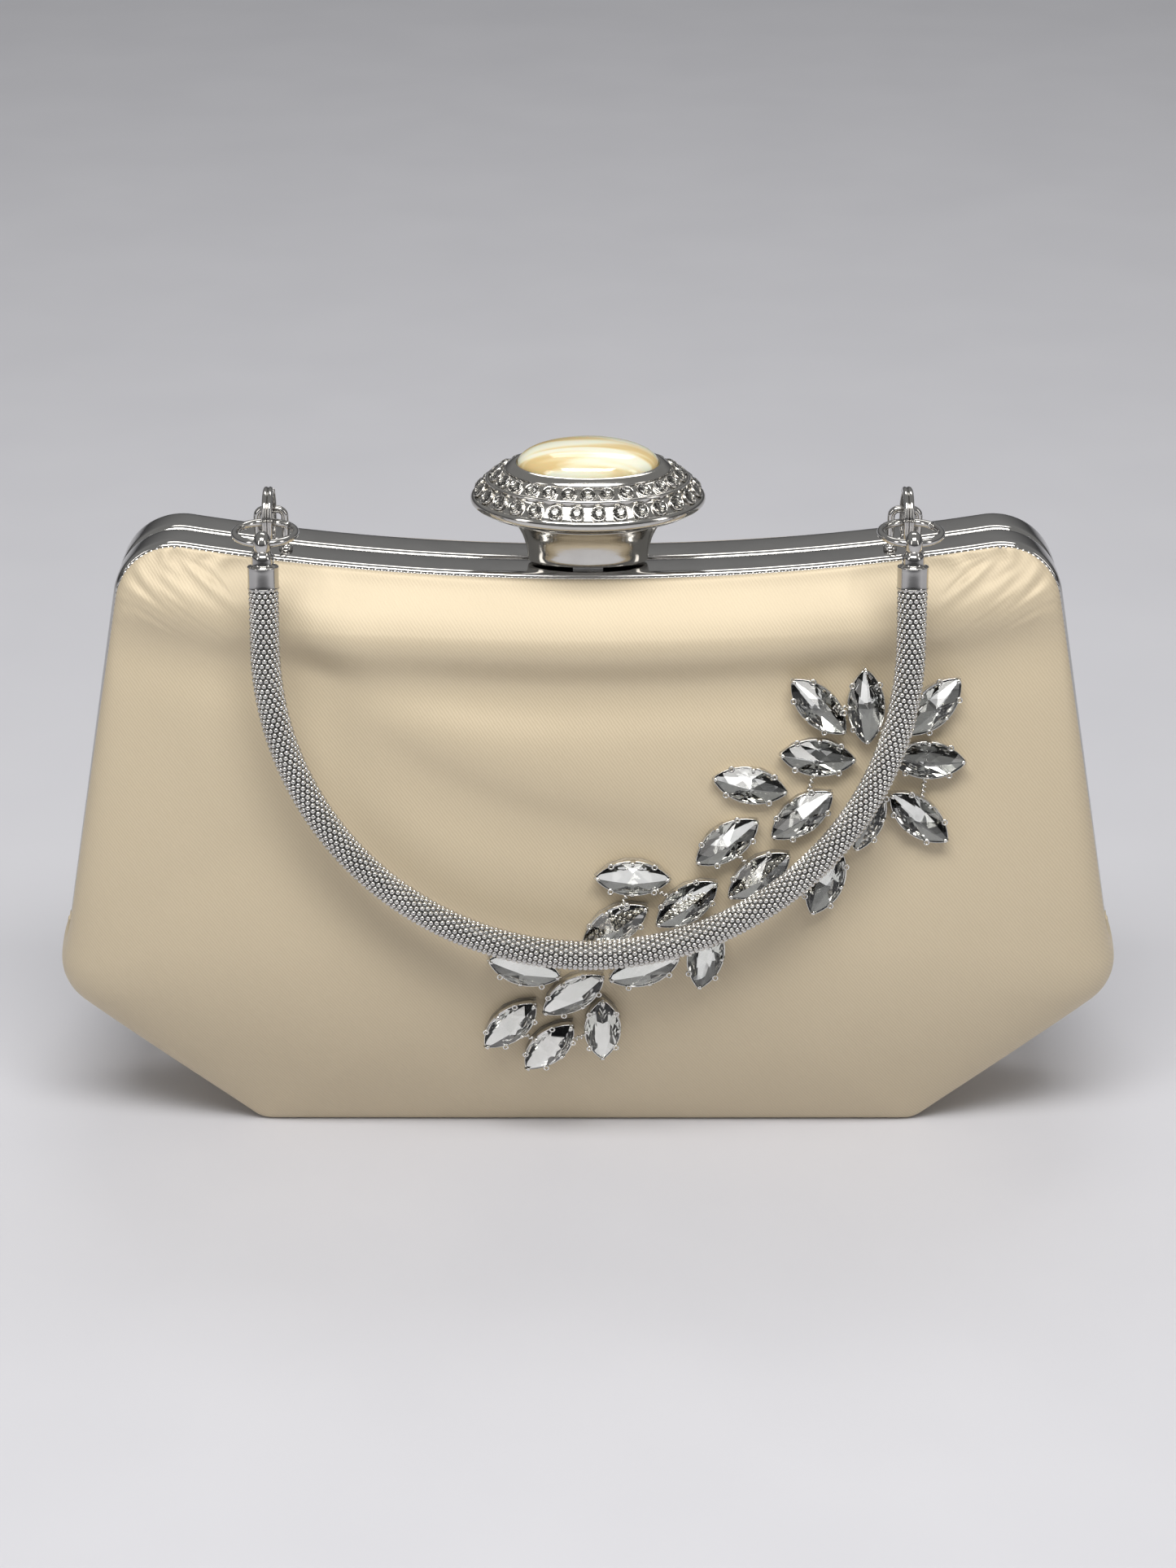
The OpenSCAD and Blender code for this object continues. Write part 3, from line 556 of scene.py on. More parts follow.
def satin_relief(x, z, seed):
    """How far the satin stands out at (x, z): a roll and a valley along the frame, pleats that
    fan from the shoulders, one long lazy crease that falls from the left and levels out, a
    slack swell above it, and slow swells made of three sines. Hollows are held above the shell."""
    below = top_line(np.clip(x, -90, 90)) - z
    fade = bell(x, 92) ** 0.5
    roll = 4.3 * bell(below - 11.5, 6.8) - 1.7 * fade * bell(below - 22.5, 6.0) \
        - 0.7 * bell(below - 2.0, 2.2)
    pleats = np.zeros_like(x)
    for sign in (-1, 1):
        dx, dz = x - sign * shoulder_centre[0], z - shoulder_centre[1]
        away, turn = np.hypot(dx, dz), np.arctan2(dz, sign * dx)
        wave = np.cos(13 * turn + seed) + 0.6 * np.cos(21 * turn + 2 * seed)
        pleats += 0.5 * wave * bell(away - 11, 6.5) * (0.5 + 0.5 * np.tanh((turn + 0.4) * 4))
    fall = 64 + 40 * np.exp(-(x + 60) / 32)
    slope = np.hypot(1, 1.25 * np.exp(-(x + 60) / 32))
    along_crease = 0.5 * (np.tanh((x + 62) / 9) - np.tanh((x - 22) / 18))
    creases = -1.3 * along_crease * bell((z - fall) / slope, 6.5)
    creases += 1.0 * along_crease * bell((z - fall) / slope - 13, 8.5)
    slant = (z - 60) - 0.55 * (x + 84)
    creases -= 0.4 * bell(slant, 7) * bell(x + 80, 20)
    swell = 0.2 * (np.sin(x / 17 + seed) * np.cos(z / 21 + 2 * seed)
                   + np.sin(z / 13 + seed + x / 41))
    total = roll + pleats + creases + swell
    return np.where(total < 0, -DEEPEST * np.tanh(-total / DEEPEST), total)


def half_shell(fine, inset, relief, edge_rings=22, face_rings=34, tuck=0.0):
    """Points of one face, rings by outline points, for the front half. Where the cover steps in
    under the frame, the step is sharp at the rim and fades out over a widening stretch. Inner
    rings turn from the outline's shape towards a plain oval, so no ridge runs in from a corner."""
    rim, out = body_outline(inset, fine)
    shrink, rise = ring_steps(edge_rings, face_rings)
    upper = rim[:, 1] > step_z + 0.1
    width = (0.2 + FADE_RING * rise ** 1.5)[:, None]
    lift = np.clip(0.5 + (rim[:, 1] - step_z - 0.1)[None] / (2 * width), 0, 1)
    lift = lift * lift * (3 - 2 * lift)
    step = (body_tuck + body_step) * (upper[None] - lift)
    low_start = 0.3 + np.clip(hinge_height - rim[:, 1], 0, None) * math.tan(wedge_angle)
    start = low_start + (frame_depth + 0.2 - 0.8 * (tuck > 0) - low_start) * lift
    hidden = tuck * np.exp(-rise / 0.14)[:, None] * upper[None]
    line_at = rim[None] + (step - hidden)[..., None] * out[None]
    spoke = line_at - SHELL_CENTRE
    oval = (np.abs(spoke) / OVAL_REACH) ** 2.8
    even = np.clip((1 - shrink) / 0.45, 0, 1) * 0.6
    rounded = 1 + even[:, None] * (oval.sum(-1) ** (-1 / 2.8) - 1)
    at = SHELL_CENTRE + (shrink[:, None] * rounded)[..., None] * spoke
    x, z = at[..., 0], at[..., 1]
    depth = depth_at(z) - inset
    y = start + (depth - start) * rise[:, None]
    if relief is not None:
        y = y + relief(x, z) * np.clip(rise, 0, 1)[:, None] ** 2
    return np.stack([x, -y, z], axis=-1)


def skin(fine, outer, inner, relief, inner_relief=None, **shape):
    """A closed skin between two insets: both faces, joined along their rims."""
    front = half_shell(fine, outer, relief, **shape)
    back = half_shell(fine, inner, inner_relief, **shape)
    rings, count = front.shape[:2]
    faces = grid_faces(rings, count, wrap_columns=True)
    rim = np.concatenate([front[0], back[0]])
    return [(front.reshape(-1, 3), faces), (back.reshape(-1, 3), faces[:, ::-1]),
            (rim, grid_faces(2, count, wrap_columns=True)[:, ::-1])]


def turned_back(parts):
    """The same parts, turned half round Z: a front piece becomes a rear one."""
    return [(points * [-1, -1, 1], faces) for points, faces in parts]


# %% Satin, moulded shell and lining on both halves
satin_t, shell_t, lining_t = 0.8, 1.6, 0.6
shell_out, lining_out = satin_t + 0.02, satin_t + shell_t
RELIEFS = {"front": lambda x, z: satin_relief(x, z, 0.7),
           "rear": lambda x, z: satin_relief(-x, z, 2.9)}
for half, relief in RELIEFS.items():
    layers = {
        "satin": (skin(3, 0, satin_t, relief, relief, tuck=1.8), SATIN, "satin"),
        "shell": (skin(2, shell_out, lining_out - 0.02, relief), BOARD, "shell_board"),
        "lining": (skin(2, lining_out, lining_out + lining_t, None), LINING, "lining")}
    for layer, (parts, material, slot) in layers.items():
        piece = build(f"{half}_{layer}_layer", parts if half == "front" else turned_back(parts))
        piece.data.materials.append(material)
        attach(piece, f"{half}_half")
        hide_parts(f"{half}_{layer}")

# %% [markdown]
# ## Frame
# Each half of the frame is one strip of brass, rolled to a channel and chromed. Its outer band
# is very slightly crowned, with rounded edges that catch a thin bright line. Extruding a flat
# outline would leave it as dull as a ruler, so a profile is carried along the outline instead,
# and each of its points moves in along the outline's own direction.


# %% Frame channel carried along the outline
LATCH_GAP = 4.0


def band_profile():
    """The channel's section as (inset, distance from the closing plane), a closed loop."""
    t = np.linspace(-1, 1, 19)
    crown = np.stack([0.12 * t ** 2 + 0.55 * np.abs(t) ** 9, 4.6 + 4.4 * t], axis=1)
    inside = np.array([[1.6, 9.0], [2.6, 8.95], [2.6, 8.1], [1.3, 8.0], [1.3, 1.3], [6.0, 1.15],
                       [6.0, 0.15], [2.0, 0.15]])
    return np.concatenate([crown, inside])


def carried(profile, path, out, side):
    """The profile carried along an outline: x and z from the path moved in by the profile's
    first number, y from its second. The deep flange stops short of the hinge ears, and it is
    left out in the middle, where the latch passes."""
    short = (path[:, 1] < hinge_height + EAR_R + 0.4) | (np.abs(path[:, 0]) < LATCH_GAP)
    inset = np.where(short[:, None], np.minimum(profile[None, :, 0], 1.3), profile[None, :, 0])
    at = path[:, None] - inset[..., None] * out[:, None]
    y = np.broadcast_to(side * profile[None, :, 1], at.shape[:2])
    return np.stack([at[..., 0], y, at[..., 1]], axis=-1)


def end_caps(rings, steps):
    """Flat faces over the first and last ring, as fans round their middles."""
    found = []
    for ring in (rings[0], rings[-1]):
        middle = ring.mean(0, keepdims=True)
        n = len(ring)
        k = np.arange(n)
        found.append((np.concatenate([ring, middle]),
                      np.stack([k, (k + 1) % n, np.full(n, n)], axis=1)))
    return found


def swept(rings, closed=False):
    """Faces over a row of closed rings, with end caps unless the row closes on itself."""
    count, around = rings.shape[:2]
    body = (rings.reshape(-1, 3), grid_faces(count, around, wrap_rows=closed, wrap_columns=True))
    return [body] if closed else [body] + end_caps(rings, around)


def block(low, high):
    """A box with its two corners given, as points and faces."""
    corners = np.array([[x, y, z] for x in (low[0], high[0]) for y in (low[1], high[1])
                        for z in (low[2], high[2])], float)
    faces = np.array([[0, 1, 3, 2], [4, 6, 7, 5], [0, 4, 5, 1], [2, 3, 7, 6], [0, 2, 6, 4],
                      [1, 5, 7, 3]])
    return corners, faces


def lathe_x(rows, place, around=40):
    """A body turned about X: rows are (x, radius), place is the axis in y and z."""
    rows = np.array(rows, float)
    a = np.linspace(0, 2 * math.pi, around, endpoint=False)
    ring = np.stack([np.zeros_like(a), np.cos(a), np.sin(a)], axis=1)
    rings = rows[:, None, 1:] * ring[None] + np.array([0, place[0], place[1]])
    rings[..., 0] += rows[:, None, 0]
    return swept(rings)


EAR_T = 1.2
REAR_EAR_X = 104.7
FRONT_EAR_X = REAR_EAR_X - EAR_T - 0.1
edge_line = both_halves(frame_half(hinge_height, 4))


def mirrored_x(parts):
    """The parts and their mirror images across the middle."""
    return parts + [(points * [-1, 1, 1], faces[:, ::-1]) for points, faces in parts]


def frame_half_parts(side):
    """One half: the channel, and at each end an ear with the arm that holds it."""
    rings = carried(band_profile(), *edge_line, side)
    ear_x = FRONT_EAR_X if side < 0 else REAR_EAR_X
    ear = lathe_x([[ear_x, EAR_R - 0.15], [ear_x + 0.1, EAR_R], [ear_x + EAR_T - 0.1, EAR_R],
                   [ear_x + EAR_T, EAR_R - 0.15]], (0, hinge_height))
    if side < 0:
        arms = [block((ear_x, -9, hinge_height), (ear_x + EAR_T, -3.6, hinge_height + 8)),
                block((ear_x, -8.8, hinge_height),
                      (hinge_half_width - 1.6, -5.1, hinge_height + 6))]
    else:
        arms = [block((ear_x, 0.35, hinge_height),
                      (hinge_half_width - 1.4, 4.35, hinge_height + 5))]
    return swept(rings) + mirrored_x(ear + arms)


def crimp_parts(side):
    """The crimped edge: a thin wire along the lip whose radius rises and falls every 1.3 mm."""
    path, out = both_halves(frame_half(hinge_height + 0.5, 24))
    travelled = np.concatenate([[0], np.cumsum(np.linalg.norm(np.diff(path, axis=0), axis=1))])
    a = np.linspace(0, 2 * math.pi, 8, endpoint=False)
    r = (0.34 + 0.11 * np.sin(travelled * 2 * math.pi / 1.3))[:, None]
    inset = 1.05 + r * np.cos(a)
    y = side * (8.95 + r * np.sin(a))
    at = path[:, None] - inset[..., None] * out[:, None]
    return swept(np.stack([at[..., 0], y, at[..., 1]], axis=-1))


for side, half in ((-1, "front"), (1, "rear")):
    shell = build(f"{half}_frame_channel", frame_half_parts(side))
    crimp = build(f"{half}_frame_crimp", crimp_parts(side))
    for piece in (shell, crimp):
        piece.data.materials.append(CHROME)
        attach(piece, f"{half}_half")
    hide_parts(f"{half}_frame")

# %% [markdown]
# ## Gussets and pocket
# Below the pins the two halves do not touch: a strip of satin closes the gap round the ends and
# under the base; on the real bag it folds up inside as the bag opens. Above the pins a double
# fold of lining hides between the halves and opens into a V.


# %% Lower gussets: a strip across the wedge, sagging a little between its edges
def wedge_at(z):
    """Half the gap between the halves at height z: it opens evenly below the hinge."""
    return np.clip(hinge_height - z, 0, None) * math.tan(wedge_angle)


def gusset_strip(points, out, across, sag, thickness):
    """Points across the wedge for each point of the outline, moved inwards by a shallow sag
    that is deepest half way, then a copy further in: a closed strip."""
    t = np.linspace(-1, 1, across)
    layers = []
    for extra in (0.0, thickness):
        width = np.maximum(wedge_at(points[:, 1]), 0.02)
        inwards = extra + sag * (1 - t[None] ** 2) * np.clip(width / 12, 0, 1)[:, None]
        at = points[:, None] - inwards[..., None] * out[:, None]
        y = width[:, None] * t[None]
        layers.append(np.stack([at[..., 0], y, at[..., 1]], axis=-1))
    ring = np.concatenate([layers[0], layers[1][:, ::-1]], axis=1)
    return swept(ring)


outline_points, outline_out = body_outline(0, 3)
lower_count = int(np.argmax(outline_points[:, 1] > step_z + 0.1))
right_run = slice(int(np.argmax(outline_points[:, 0] > 67.4)), lower_count)
right_strip = gusset_strip(outline_points[right_run], outline_out[right_run], 13, 1.6, 0.7)
left_strip = [(points * [-1, 1, 1], faces) for points, faces in right_strip]
base_x = np.linspace(-67.2, 67.2, 40)
base_points = np.stack([base_x, np.zeros_like(base_x)], axis=1)
base_out = np.broadcast_to(np.array([0, -1.0]), base_points.shape)
base_strip = gusset_strip(base_points, base_out, 13, 0.5, 0.9)
for name, parts, node, flat in (
        ("right_end_gusset", right_strip, "right_gusset", (0.0272, 0.0619)),
        ("left_end_gusset", left_strip, "left_gusset", (0.0272, 0.0619)),
        ("base_strip", base_strip, "base_gusset", (0.0272, 0.1344))):
    strip = build(name, parts)
    strip.data.materials.append(SATIN)
    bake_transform(strip)
    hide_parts(node)

# %% Folded lining between the halves
FOLD_LOW, FOLD_HIGH = 54.0, 108.0


def side_fold_parts(side):
    """A strip folded in two: from the front flange in to the fold and back to the rear one.
    The fold lies deepest half way up and its two layers part in soft waves."""
    t = np.linspace(-1, 1, 25)
    h = np.linspace(0, 1, 30)
    z = FOLD_LOW + (FOLD_HIGH - FOLD_LOW) * h
    deep = 6.0 + 13.0 * np.sin(math.pi * (0.12 + 0.76 * h)) ** 0.7
    inset = 5.2 + deep[:, None] * (1 - np.abs(t)[None] ** 1.4)
    edge = np.array([side_at(0, value)[0] for value in (FOLD_LOW, FOLD_HIGH)])
    x = (edge[0] + (edge[1] - edge[0]) * h)[:, None] - inset
    wave = 0.25 * np.sin(h * 19)[:, None] * (1 - t[None] ** 2)
    y = 0.9 * np.sign(t)[None] * np.abs(t)[None] ** 0.6 + wave
    outer = np.stack([side * x, y, np.broadcast_to(z[:, None], x.shape)], axis=-1)
    inner = outer + np.array([-0.35 * side, 0, 0])
    return swept(np.concatenate([outer, inner[:, ::-1]], axis=1))


for side, name in ((1, "right"), (-1, "left")):
    fold = build(f"{name}_inner_fold", side_fold_parts(side))
    fold.data.materials.append(LINING)
    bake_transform(fold)
    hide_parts(f"{name}_side_fold")

# %% Slip pocket on the rear lining, with a folded top hem
POCKET_HALF, POCKET_LOW, POCKET_HIGH = 45.0, 34.0, 88.0


def pocket_parts():
    """A patch that follows the rear wall: y from the body's depth at each height, with a
    slack swell in the middle and a thicker rolled hem along the top."""
    x = np.linspace(-POCKET_HALF, POCKET_HALF, 46)
    z = np.linspace(POCKET_LOW, POCKET_HIGH, 34)
    gx, gz = np.meshgrid(x, z)
    across = 1 - (gx / POCKET_HALF) ** 2
    up = (gz - POCKET_LOW) / (POCKET_HIGH - POCKET_LOW)
    wall = depth_at(gz) - (satin_t + shell_t + lining_t) - 0.9
    slack = 0.8 * across * up ** 1.5
    hem = 0.35 * bell(up - 0.955, 0.035)
    near = np.stack([gx, wall - 0.75 - slack - hem, gz], axis=-1)
    far = np.stack([gx, wall - slack * 0.9, gz], axis=-1)
    ring = np.concatenate([near, far[:, ::-1]], axis=1)
    return swept(ring)


pocket = build("slip_pocket", pocket_parts())
pocket.data.materials.append(LINING)
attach(pocket, "rear_half")
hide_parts("inner_pocket")

# %% [markdown]
# ## Jewelled knob
# The knob is cast in one metal: an oval foot, a flared dish with two rows of rhinestones, and a
# bezel that grips the oval cabochon. All of it is ovals stacked on one axis, so one function
# makes every part from a list of half widths, half depths and heights.

# %% Stacked ovals
KNOB_Y = -2.25
dish_low, dish_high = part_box("knob_dish")
DISH_W, DISH_D = dish_high.x / MM, (dish_high.y - dish_low.y) / 2 / MM
OVAL_RATIO = 0.7
CAB_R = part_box("cabochon")[1].x / MM
print("dish", round(DISH_W, 2), round(DISH_D, 2), "cabochon", round(CAB_R, 2))


def smooth_rows(rows, steps=6):
    """More rows between the given ones, on a Catmull-Rom curve through them."""
    rows = np.array(rows, float)
    ends = np.concatenate([[2 * rows[0] - rows[1]], rows, [2 * rows[-1] - rows[-2]]])
    t = (np.arange(steps) / steps)[:, None, None]
    a, b, c, d = ends[:-3], ends[1:-2], ends[2:-1], ends[3:]
    curve = 0.5 * (2 * b + (c - a) * t + (2 * a - 5 * b + 4 * c - d) * t ** 2
                   + (3 * b - a - 3 * c + d) * t ** 3)
    return np.concatenate([curve.transpose(1, 0, 2).reshape(-1, 3), rows[-1:]])


def ovals(rows, around=120):
    """Rings for rows of (half width, half depth, height above the frame's top)."""
    a = np.linspace(0, 2 * math.pi, around, endpoint=False)
    rows = np.array(rows, float)
    return np.stack([rows[:, :1] * np.cos(a), KNOB_Y + rows[:, 1:2] * np.sin(a),
                     top_height + np.broadcast_to(rows[:, 2:3], (len(rows), around))], axis=-1)


# %% Foot, dish and bezel
foot = build("knob_foot", swept(ovals(smooth_rows([
    [11.4, 4.4, 0.45], [11.9, 4.9, 0.6], [12.1, 5.1, 1.2], [12.3, 5.3, 3.0], [13.0, 6.0, 5.6],
    [14.0, 7.0, 7.6], [14.8, 7.8, 8.9]]))))
W, D = DISH_W, DISH_D
dish = build("knob_dish_casting", swept(ovals(smooth_rows([
    [13.8, 6.7, 8.2], [14.9, 7.9, 9.0], [17.4, 10.9, 10.3], [W - 2.6, D - 2.7, 11.7],
    [W - 0.9, D - 0.9, 12.7], [W - 0.15, D - 0.15, 13.3], [W, D, 13.9], [W - 0.15, D - 0.15, 14.5],
    [W - 0.55, D - 0.55, 14.9], [W - 0.85, D - 0.85, 14.8], [W - 2.9, D - 2.75, 17.0],
    [W - 3.05, D - 2.85, 17.5], [W - 3.0, D - 2.8, 18.05], [W - 3.3, D - 3.05, 18.35],
    [W - 3.65, D - 3.35, 18.3], [W - 3.9, D - 3.6, 18.15], [W - 6.4, D - 5.45, 19.75],
    [W - 7.3, D - 6.2, 19.95], [W - 8.4, D - 7.4, 19.9]], 4))))
b_w, b_d = CAB_R, CAB_R * OVAL_RATIO
bezel = build("cabochon_bezel", swept(ovals(smooth_rows([
    [b_w + 1.6, b_d + 1.3, 19.8], [b_w + 2.15, b_d + 1.75, 19.95], [b_w + 2.3, b_d + 1.9, 20.2],
    [b_w + 2.05, b_d + 1.7, 20.55], [b_w + 1.2, b_d + 1.0, 21.2], [b_w + 0.6, b_d + 0.5, 21.45],
    [b_w + 0.25, b_d + 0.25, 21.5], [b_w - 0.05, b_d - 0.05, 21.35],
    [b_w - 0.2, b_d - 0.2, 20.9], [b_w - 0.4, b_d - 0.4, 20.6]], 4))))
for piece, node in ((foot, "knob_base"), (dish, "knob_dish"), (bezel, "knob_bezel")):
    piece.data.materials.append(KNOB_METAL)
    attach(piece, "clasp")
    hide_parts(node)

# %% Cabochon: a low dome with a girdle that sits in the bezel
DOME = 4.55
turns = np.radians(np.linspace(0, 89.5, 26))
dome_rows = np.stack([b_w * 0.985 * np.cos(turns) ** 0.92, b_d * 0.985 * np.cos(turns) ** 0.92,
                      21.1 + DOME * np.sin(turns)], axis=1)
stone_rows = np.concatenate([[[b_w * 0.9, b_d * 0.9, 20.65], [b_w * 0.985, b_d * 0.985, 20.8]],
                             dome_rows])
cabochon_piece = build("oval_cabochon", swept(ovals(stone_rows, 96)))
cabochon_piece.data.materials.append(CABOCHON)
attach(cabochon_piece, "clasp")
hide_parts("cabochon")


# %% Round rhinestones: a crown of clear facets over a mirrored cone
def cone_stack(rows, corners, twist):
    """Rings of corners points for rows of (radius, height); each ring turns by twist more."""
    rows = np.array(rows, float)
    a = np.linspace(0, 2 * math.pi, corners, endpoint=False)[None] \
        + twist * np.arange(len(rows))[:, None]
    rings = np.stack([rows[:, :1] * np.cos(a), rows[:, :1] * np.sin(a),
                      np.broadcast_to(rows[:, 1:], a.shape)], axis=-1)
    return rings


def triangles(rings):
    """Closed surface over rings in which each four-cornered face is cut in two."""
    count, around = rings.shape[:2]
    quads = grid_faces(count, around, wrap_columns=True)
    cut = np.concatenate([quads[:, [0, 1, 2]], quads[:, [0, 2, 3]]])
    k = np.arange(around)
    points = np.concatenate([rings.reshape(-1, 3), [rings[0].mean(0), rings[-1].mean(0)]])
    first = np.stack([(k + 1) % around, k, np.full(around, count * around)], axis=1)
    last = (count - 1) * around
    top = np.stack([last + k, last + (k + 1) % around, np.full(around, count * around + 1)], axis=1)
    return points, np.concatenate([cut, first, top])


def oval_spots(w, d, z, count, lean):
    """count places evenly spaced round an oval, and a frame at each: x along the edge, z
    leaning outwards by lean."""
    a = np.linspace(0, 2 * math.pi, 721)
    run = np.stack([w * np.cos(a), d * np.sin(a)], axis=1)
    length = np.concatenate([[0], np.cumsum(np.linalg.norm(np.diff(run, axis=0), axis=1))])
    spot = np.interp(length[-1] * (np.arange(count) + 0.5) / count, length, a)
    place = np.stack([w * np.cos(spot), KNOB_Y + d * np.sin(spot),
                      np.full(count, top_height + z)], axis=1)
    tangent = unit(np.stack([-w * np.sin(spot), d * np.cos(spot), 0 * spot], axis=1))
    outward = np.cross(tangent, [0, 0, 1.0])
    normal = math.cos(lean) * np.array([0, 0, 1.0]) + math.sin(lean) * outward
    side = np.cross(normal, tangent)
    return place, np.stack([tangent, side, normal], axis=-1)


ROUND_R = 1.42
crown_shape = triangles(cone_stack([
    [ROUND_R * 0.98, -0.05], [ROUND_R, 0.12], [ROUND_R * 0.82, 0.45],
    [ROUND_R * 0.5, 0.68]], 8, math.pi / 8))
foil_shape = triangles(cone_stack([
    [0.12, -0.95], [ROUND_R * 0.55, -0.55], [ROUND_R * 0.96, -0.12]], 8, math.pi / 8))
seat_rows = cone_stack([[ROUND_R * 1.0, -0.3], [ROUND_R * 1.2, -0.25], [ROUND_R * 1.2, 0.18],
                        [ROUND_R * 1.02, 0.3], [ROUND_R * 0.98, 0.1]], 12, 0)
seat_shape = triangles(seat_rows)
ball_shape = triangles(cone_stack([[0.02, -0.3], [0.3, -0.2], [0.38, 0.05], [0.27, 0.28],
                                   [0.02, 0.38]], 7, 0))
ROWS = (("lower", W - 1.75, D - 1.7, 16.15, 28, math.radians(47)),
        ("upper", W - 5.1, D - 4.5, 19.1, 26, math.radians(34)))
seats, balls = [], []
for row, w, d, z, count, lean in ROWS:
    place, turn = oval_spots(w, d, z, count, lean)
    crowns = build(f"{row}_crystals", [copies(crown_shape, place, turn)], smooth=False)
    foils = build(f"{row}_crystal_foils", [copies(foil_shape, place, turn)], smooth=False)
    crowns.data.materials.append(CRYSTAL)
    foils.data.materials.append(FOIL)
    for piece in (crowns, foils):
        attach(piece, "clasp")
    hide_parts(f"{row}_rhinestones")
    seats.append(copies(seat_shape, place, turn))
    spot, ball_turn = oval_spots(w, d, z, 2 * count, lean)
    between = slice(1, None, 2)
    for climb in (-0.95, 0.95):
        shifted = spot[between] - climb * ball_turn[between][:, :, 1]
        balls.append(copies(ball_shape, shifted, ball_turn[between]))
beading = build("stone_seats", seats + balls)
beading.data.materials.append(KNOB_METAL)
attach(beading, "clasp")

# %% [markdown]
# ## Loops, rings and end caps
# Round wire makes all of these. A wire is a circle carried along a path, and the frames along
# the path are built from its direction and one fixed side, which is enough for paths that lie
# in a plane or nearly so. The split ring is wound twice round, like a key ring.

# %% Wires along a path
handle_half_width = 63.3
loop_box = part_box("handle_loops")
split_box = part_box("split_rings")
jump_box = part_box("jump_rings")
LOOP_Y = (loop_box[0].y + loop_box[1].y) / 2 / MM
BAR_Z = loop_box[1].z / MM - 0.75
SPLIT_Y = (split_box[0].y + split_box[1].y) / 2 / MM
JUMP_Y = (jump_box[0].y + jump_box[1].y) / 2 / MM
RING_Z = (jump_box[0].z + jump_box[1].z) / 2 / MM
print("loop", round(LOOP_Y, 2), "ring", round(SPLIT_Y, 2), "jump ring", round(JUMP_Y, 2))


def wire(path, r, side, around=16, closed=False):
    """A round wire of radius r (a number, or one per point) along path. side is roughly
    square to the path and fixes where the circle starts."""
    if closed:
        ahead = np.roll(path, -1, axis=0) - np.roll(path, 1, axis=0)
    else:
        ahead = np.gradient(path, axis=0)
    ahead = unit(ahead)
    first = unit(np.cross(ahead, np.broadcast_to(side, ahead.shape)))
    second = np.cross(ahead, first)
    a = np.linspace(0, 2 * math.pi, around, endpoint=False)
    r = np.broadcast_to(np.asarray(r, float), (len(path),))[:, None, None]
    rings = path[:, None] + r * (np.cos(a)[None, :, None] * first[:, None]
                                 + np.sin(a)[None, :, None] * second[:, None])
    return swept(rings, closed)


def at_both_ends(parts):
    """The same parts at both ends of the handle, moved, not mirrored."""
    return [(points + [x, 0, 0], faces) for x in (-handle_half_width, handle_half_width)
            for points, faces in parts]


# %% Stirrup loops with small collars where they meet the frame
half, corner = 2.75, 1.5
low = top_line(handle_half_width) - 0.6
quarter = np.linspace(0, math.pi / 2, 10)
leg = np.stack([np.full(8, half), np.zeros(8), np.linspace(low, BAR_Z - corner, 8)], axis=1)
bend = np.stack([half - corner + corner * np.cos(quarter), 0 * quarter,
                 BAR_Z - corner + corner * np.sin(quarter)], axis=1)
right_path = np.concatenate([leg, bend[1:]])
stirrup = np.concatenate([right_path, right_path[::-1] * [-1, 1, 1]]) + [0, LOOP_Y, 0]
a = np.linspace(0, 2 * math.pi, 28, endpoint=False)


def collar(x):
    """A small turned foot under one leg: radius falls from the frame up the wire."""
    rows = np.array([[1.35, low + 0.2], [1.4, low + 0.75], [1.2, low + 1.1], [0.78, low + 1.35]])
    rings = np.stack([x + rows[:, :1] * np.cos(a), LOOP_Y + rows[:, :1] * np.sin(a),
                      np.broadcast_to(rows[:, 1:], (4, len(a)))], axis=-1)
    return swept(rings)


loops = build("stirrup_loops", at_both_ends(
    wire(stirrup, 0.75, (0, 1, 0)) + collar(-half) + collar(half)))
loops.data.materials.append(CHROME)
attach(loops, "front_half")
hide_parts("handle_loops")

# %% Split rings: two turns side by side that cross over in a short step
a = np.linspace(0, 4 * math.pi, 150)
step = 0.5 * np.tanh((a - 2 * math.pi) * 2.2)
coil = np.stack([step, SPLIT_Y + 5.25 * np.cos(a + 0.9), RING_Z + 5.25 * np.sin(a + 0.9)], axis=1)
split = build("split_key_rings", at_both_ends(wire(coil, 0.53, (1, 0, 0))))
split.data.materials.append(CHROME)
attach(split, "link_rings")
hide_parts("split_rings")

# %% Jump rings, each with a fine gap where its wire was bent shut
GAP = 0.035
a = np.linspace(GAP, 2 * math.pi - GAP, 90) + 0.7
hoop = np.stack([5.95 * np.cos(a), JUMP_Y + 5.95 * np.sin(a), np.full_like(a, RING_Z)], axis=1)
jump = build("round_jump_rings", at_both_ends(wire(hoop, 0.75, (0, 0, 1))))
jump.data.materials.append(CHROME)
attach(jump, "handle_rings")
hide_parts("jump_rings")

# %% [markdown]
# ## Handle
# The handle is a tube of woven metal beads on a stiff core, bent to a U. Its beads sit in rings,
# each ring turned by half a bead from the last. One bead is a small dome of a few faces, copied
# along the tube with a frame at each place, over a plain tube coloured near black as painted
# shade, which closes the gaps between the beads.

# %% The handle's own axes and path
HANDLE_LEAN = math.radians(9)
EYE = np.array([0, JUMP_Y - 5.95, RING_Z])
DOWN = np.array([0, -math.sin(HANDLE_LEAN), -math.cos(HANDLE_LEAN)])
CAP_LENGTH, STRAIGHT, TUBE_R = 9.0, 12.2, 3.0


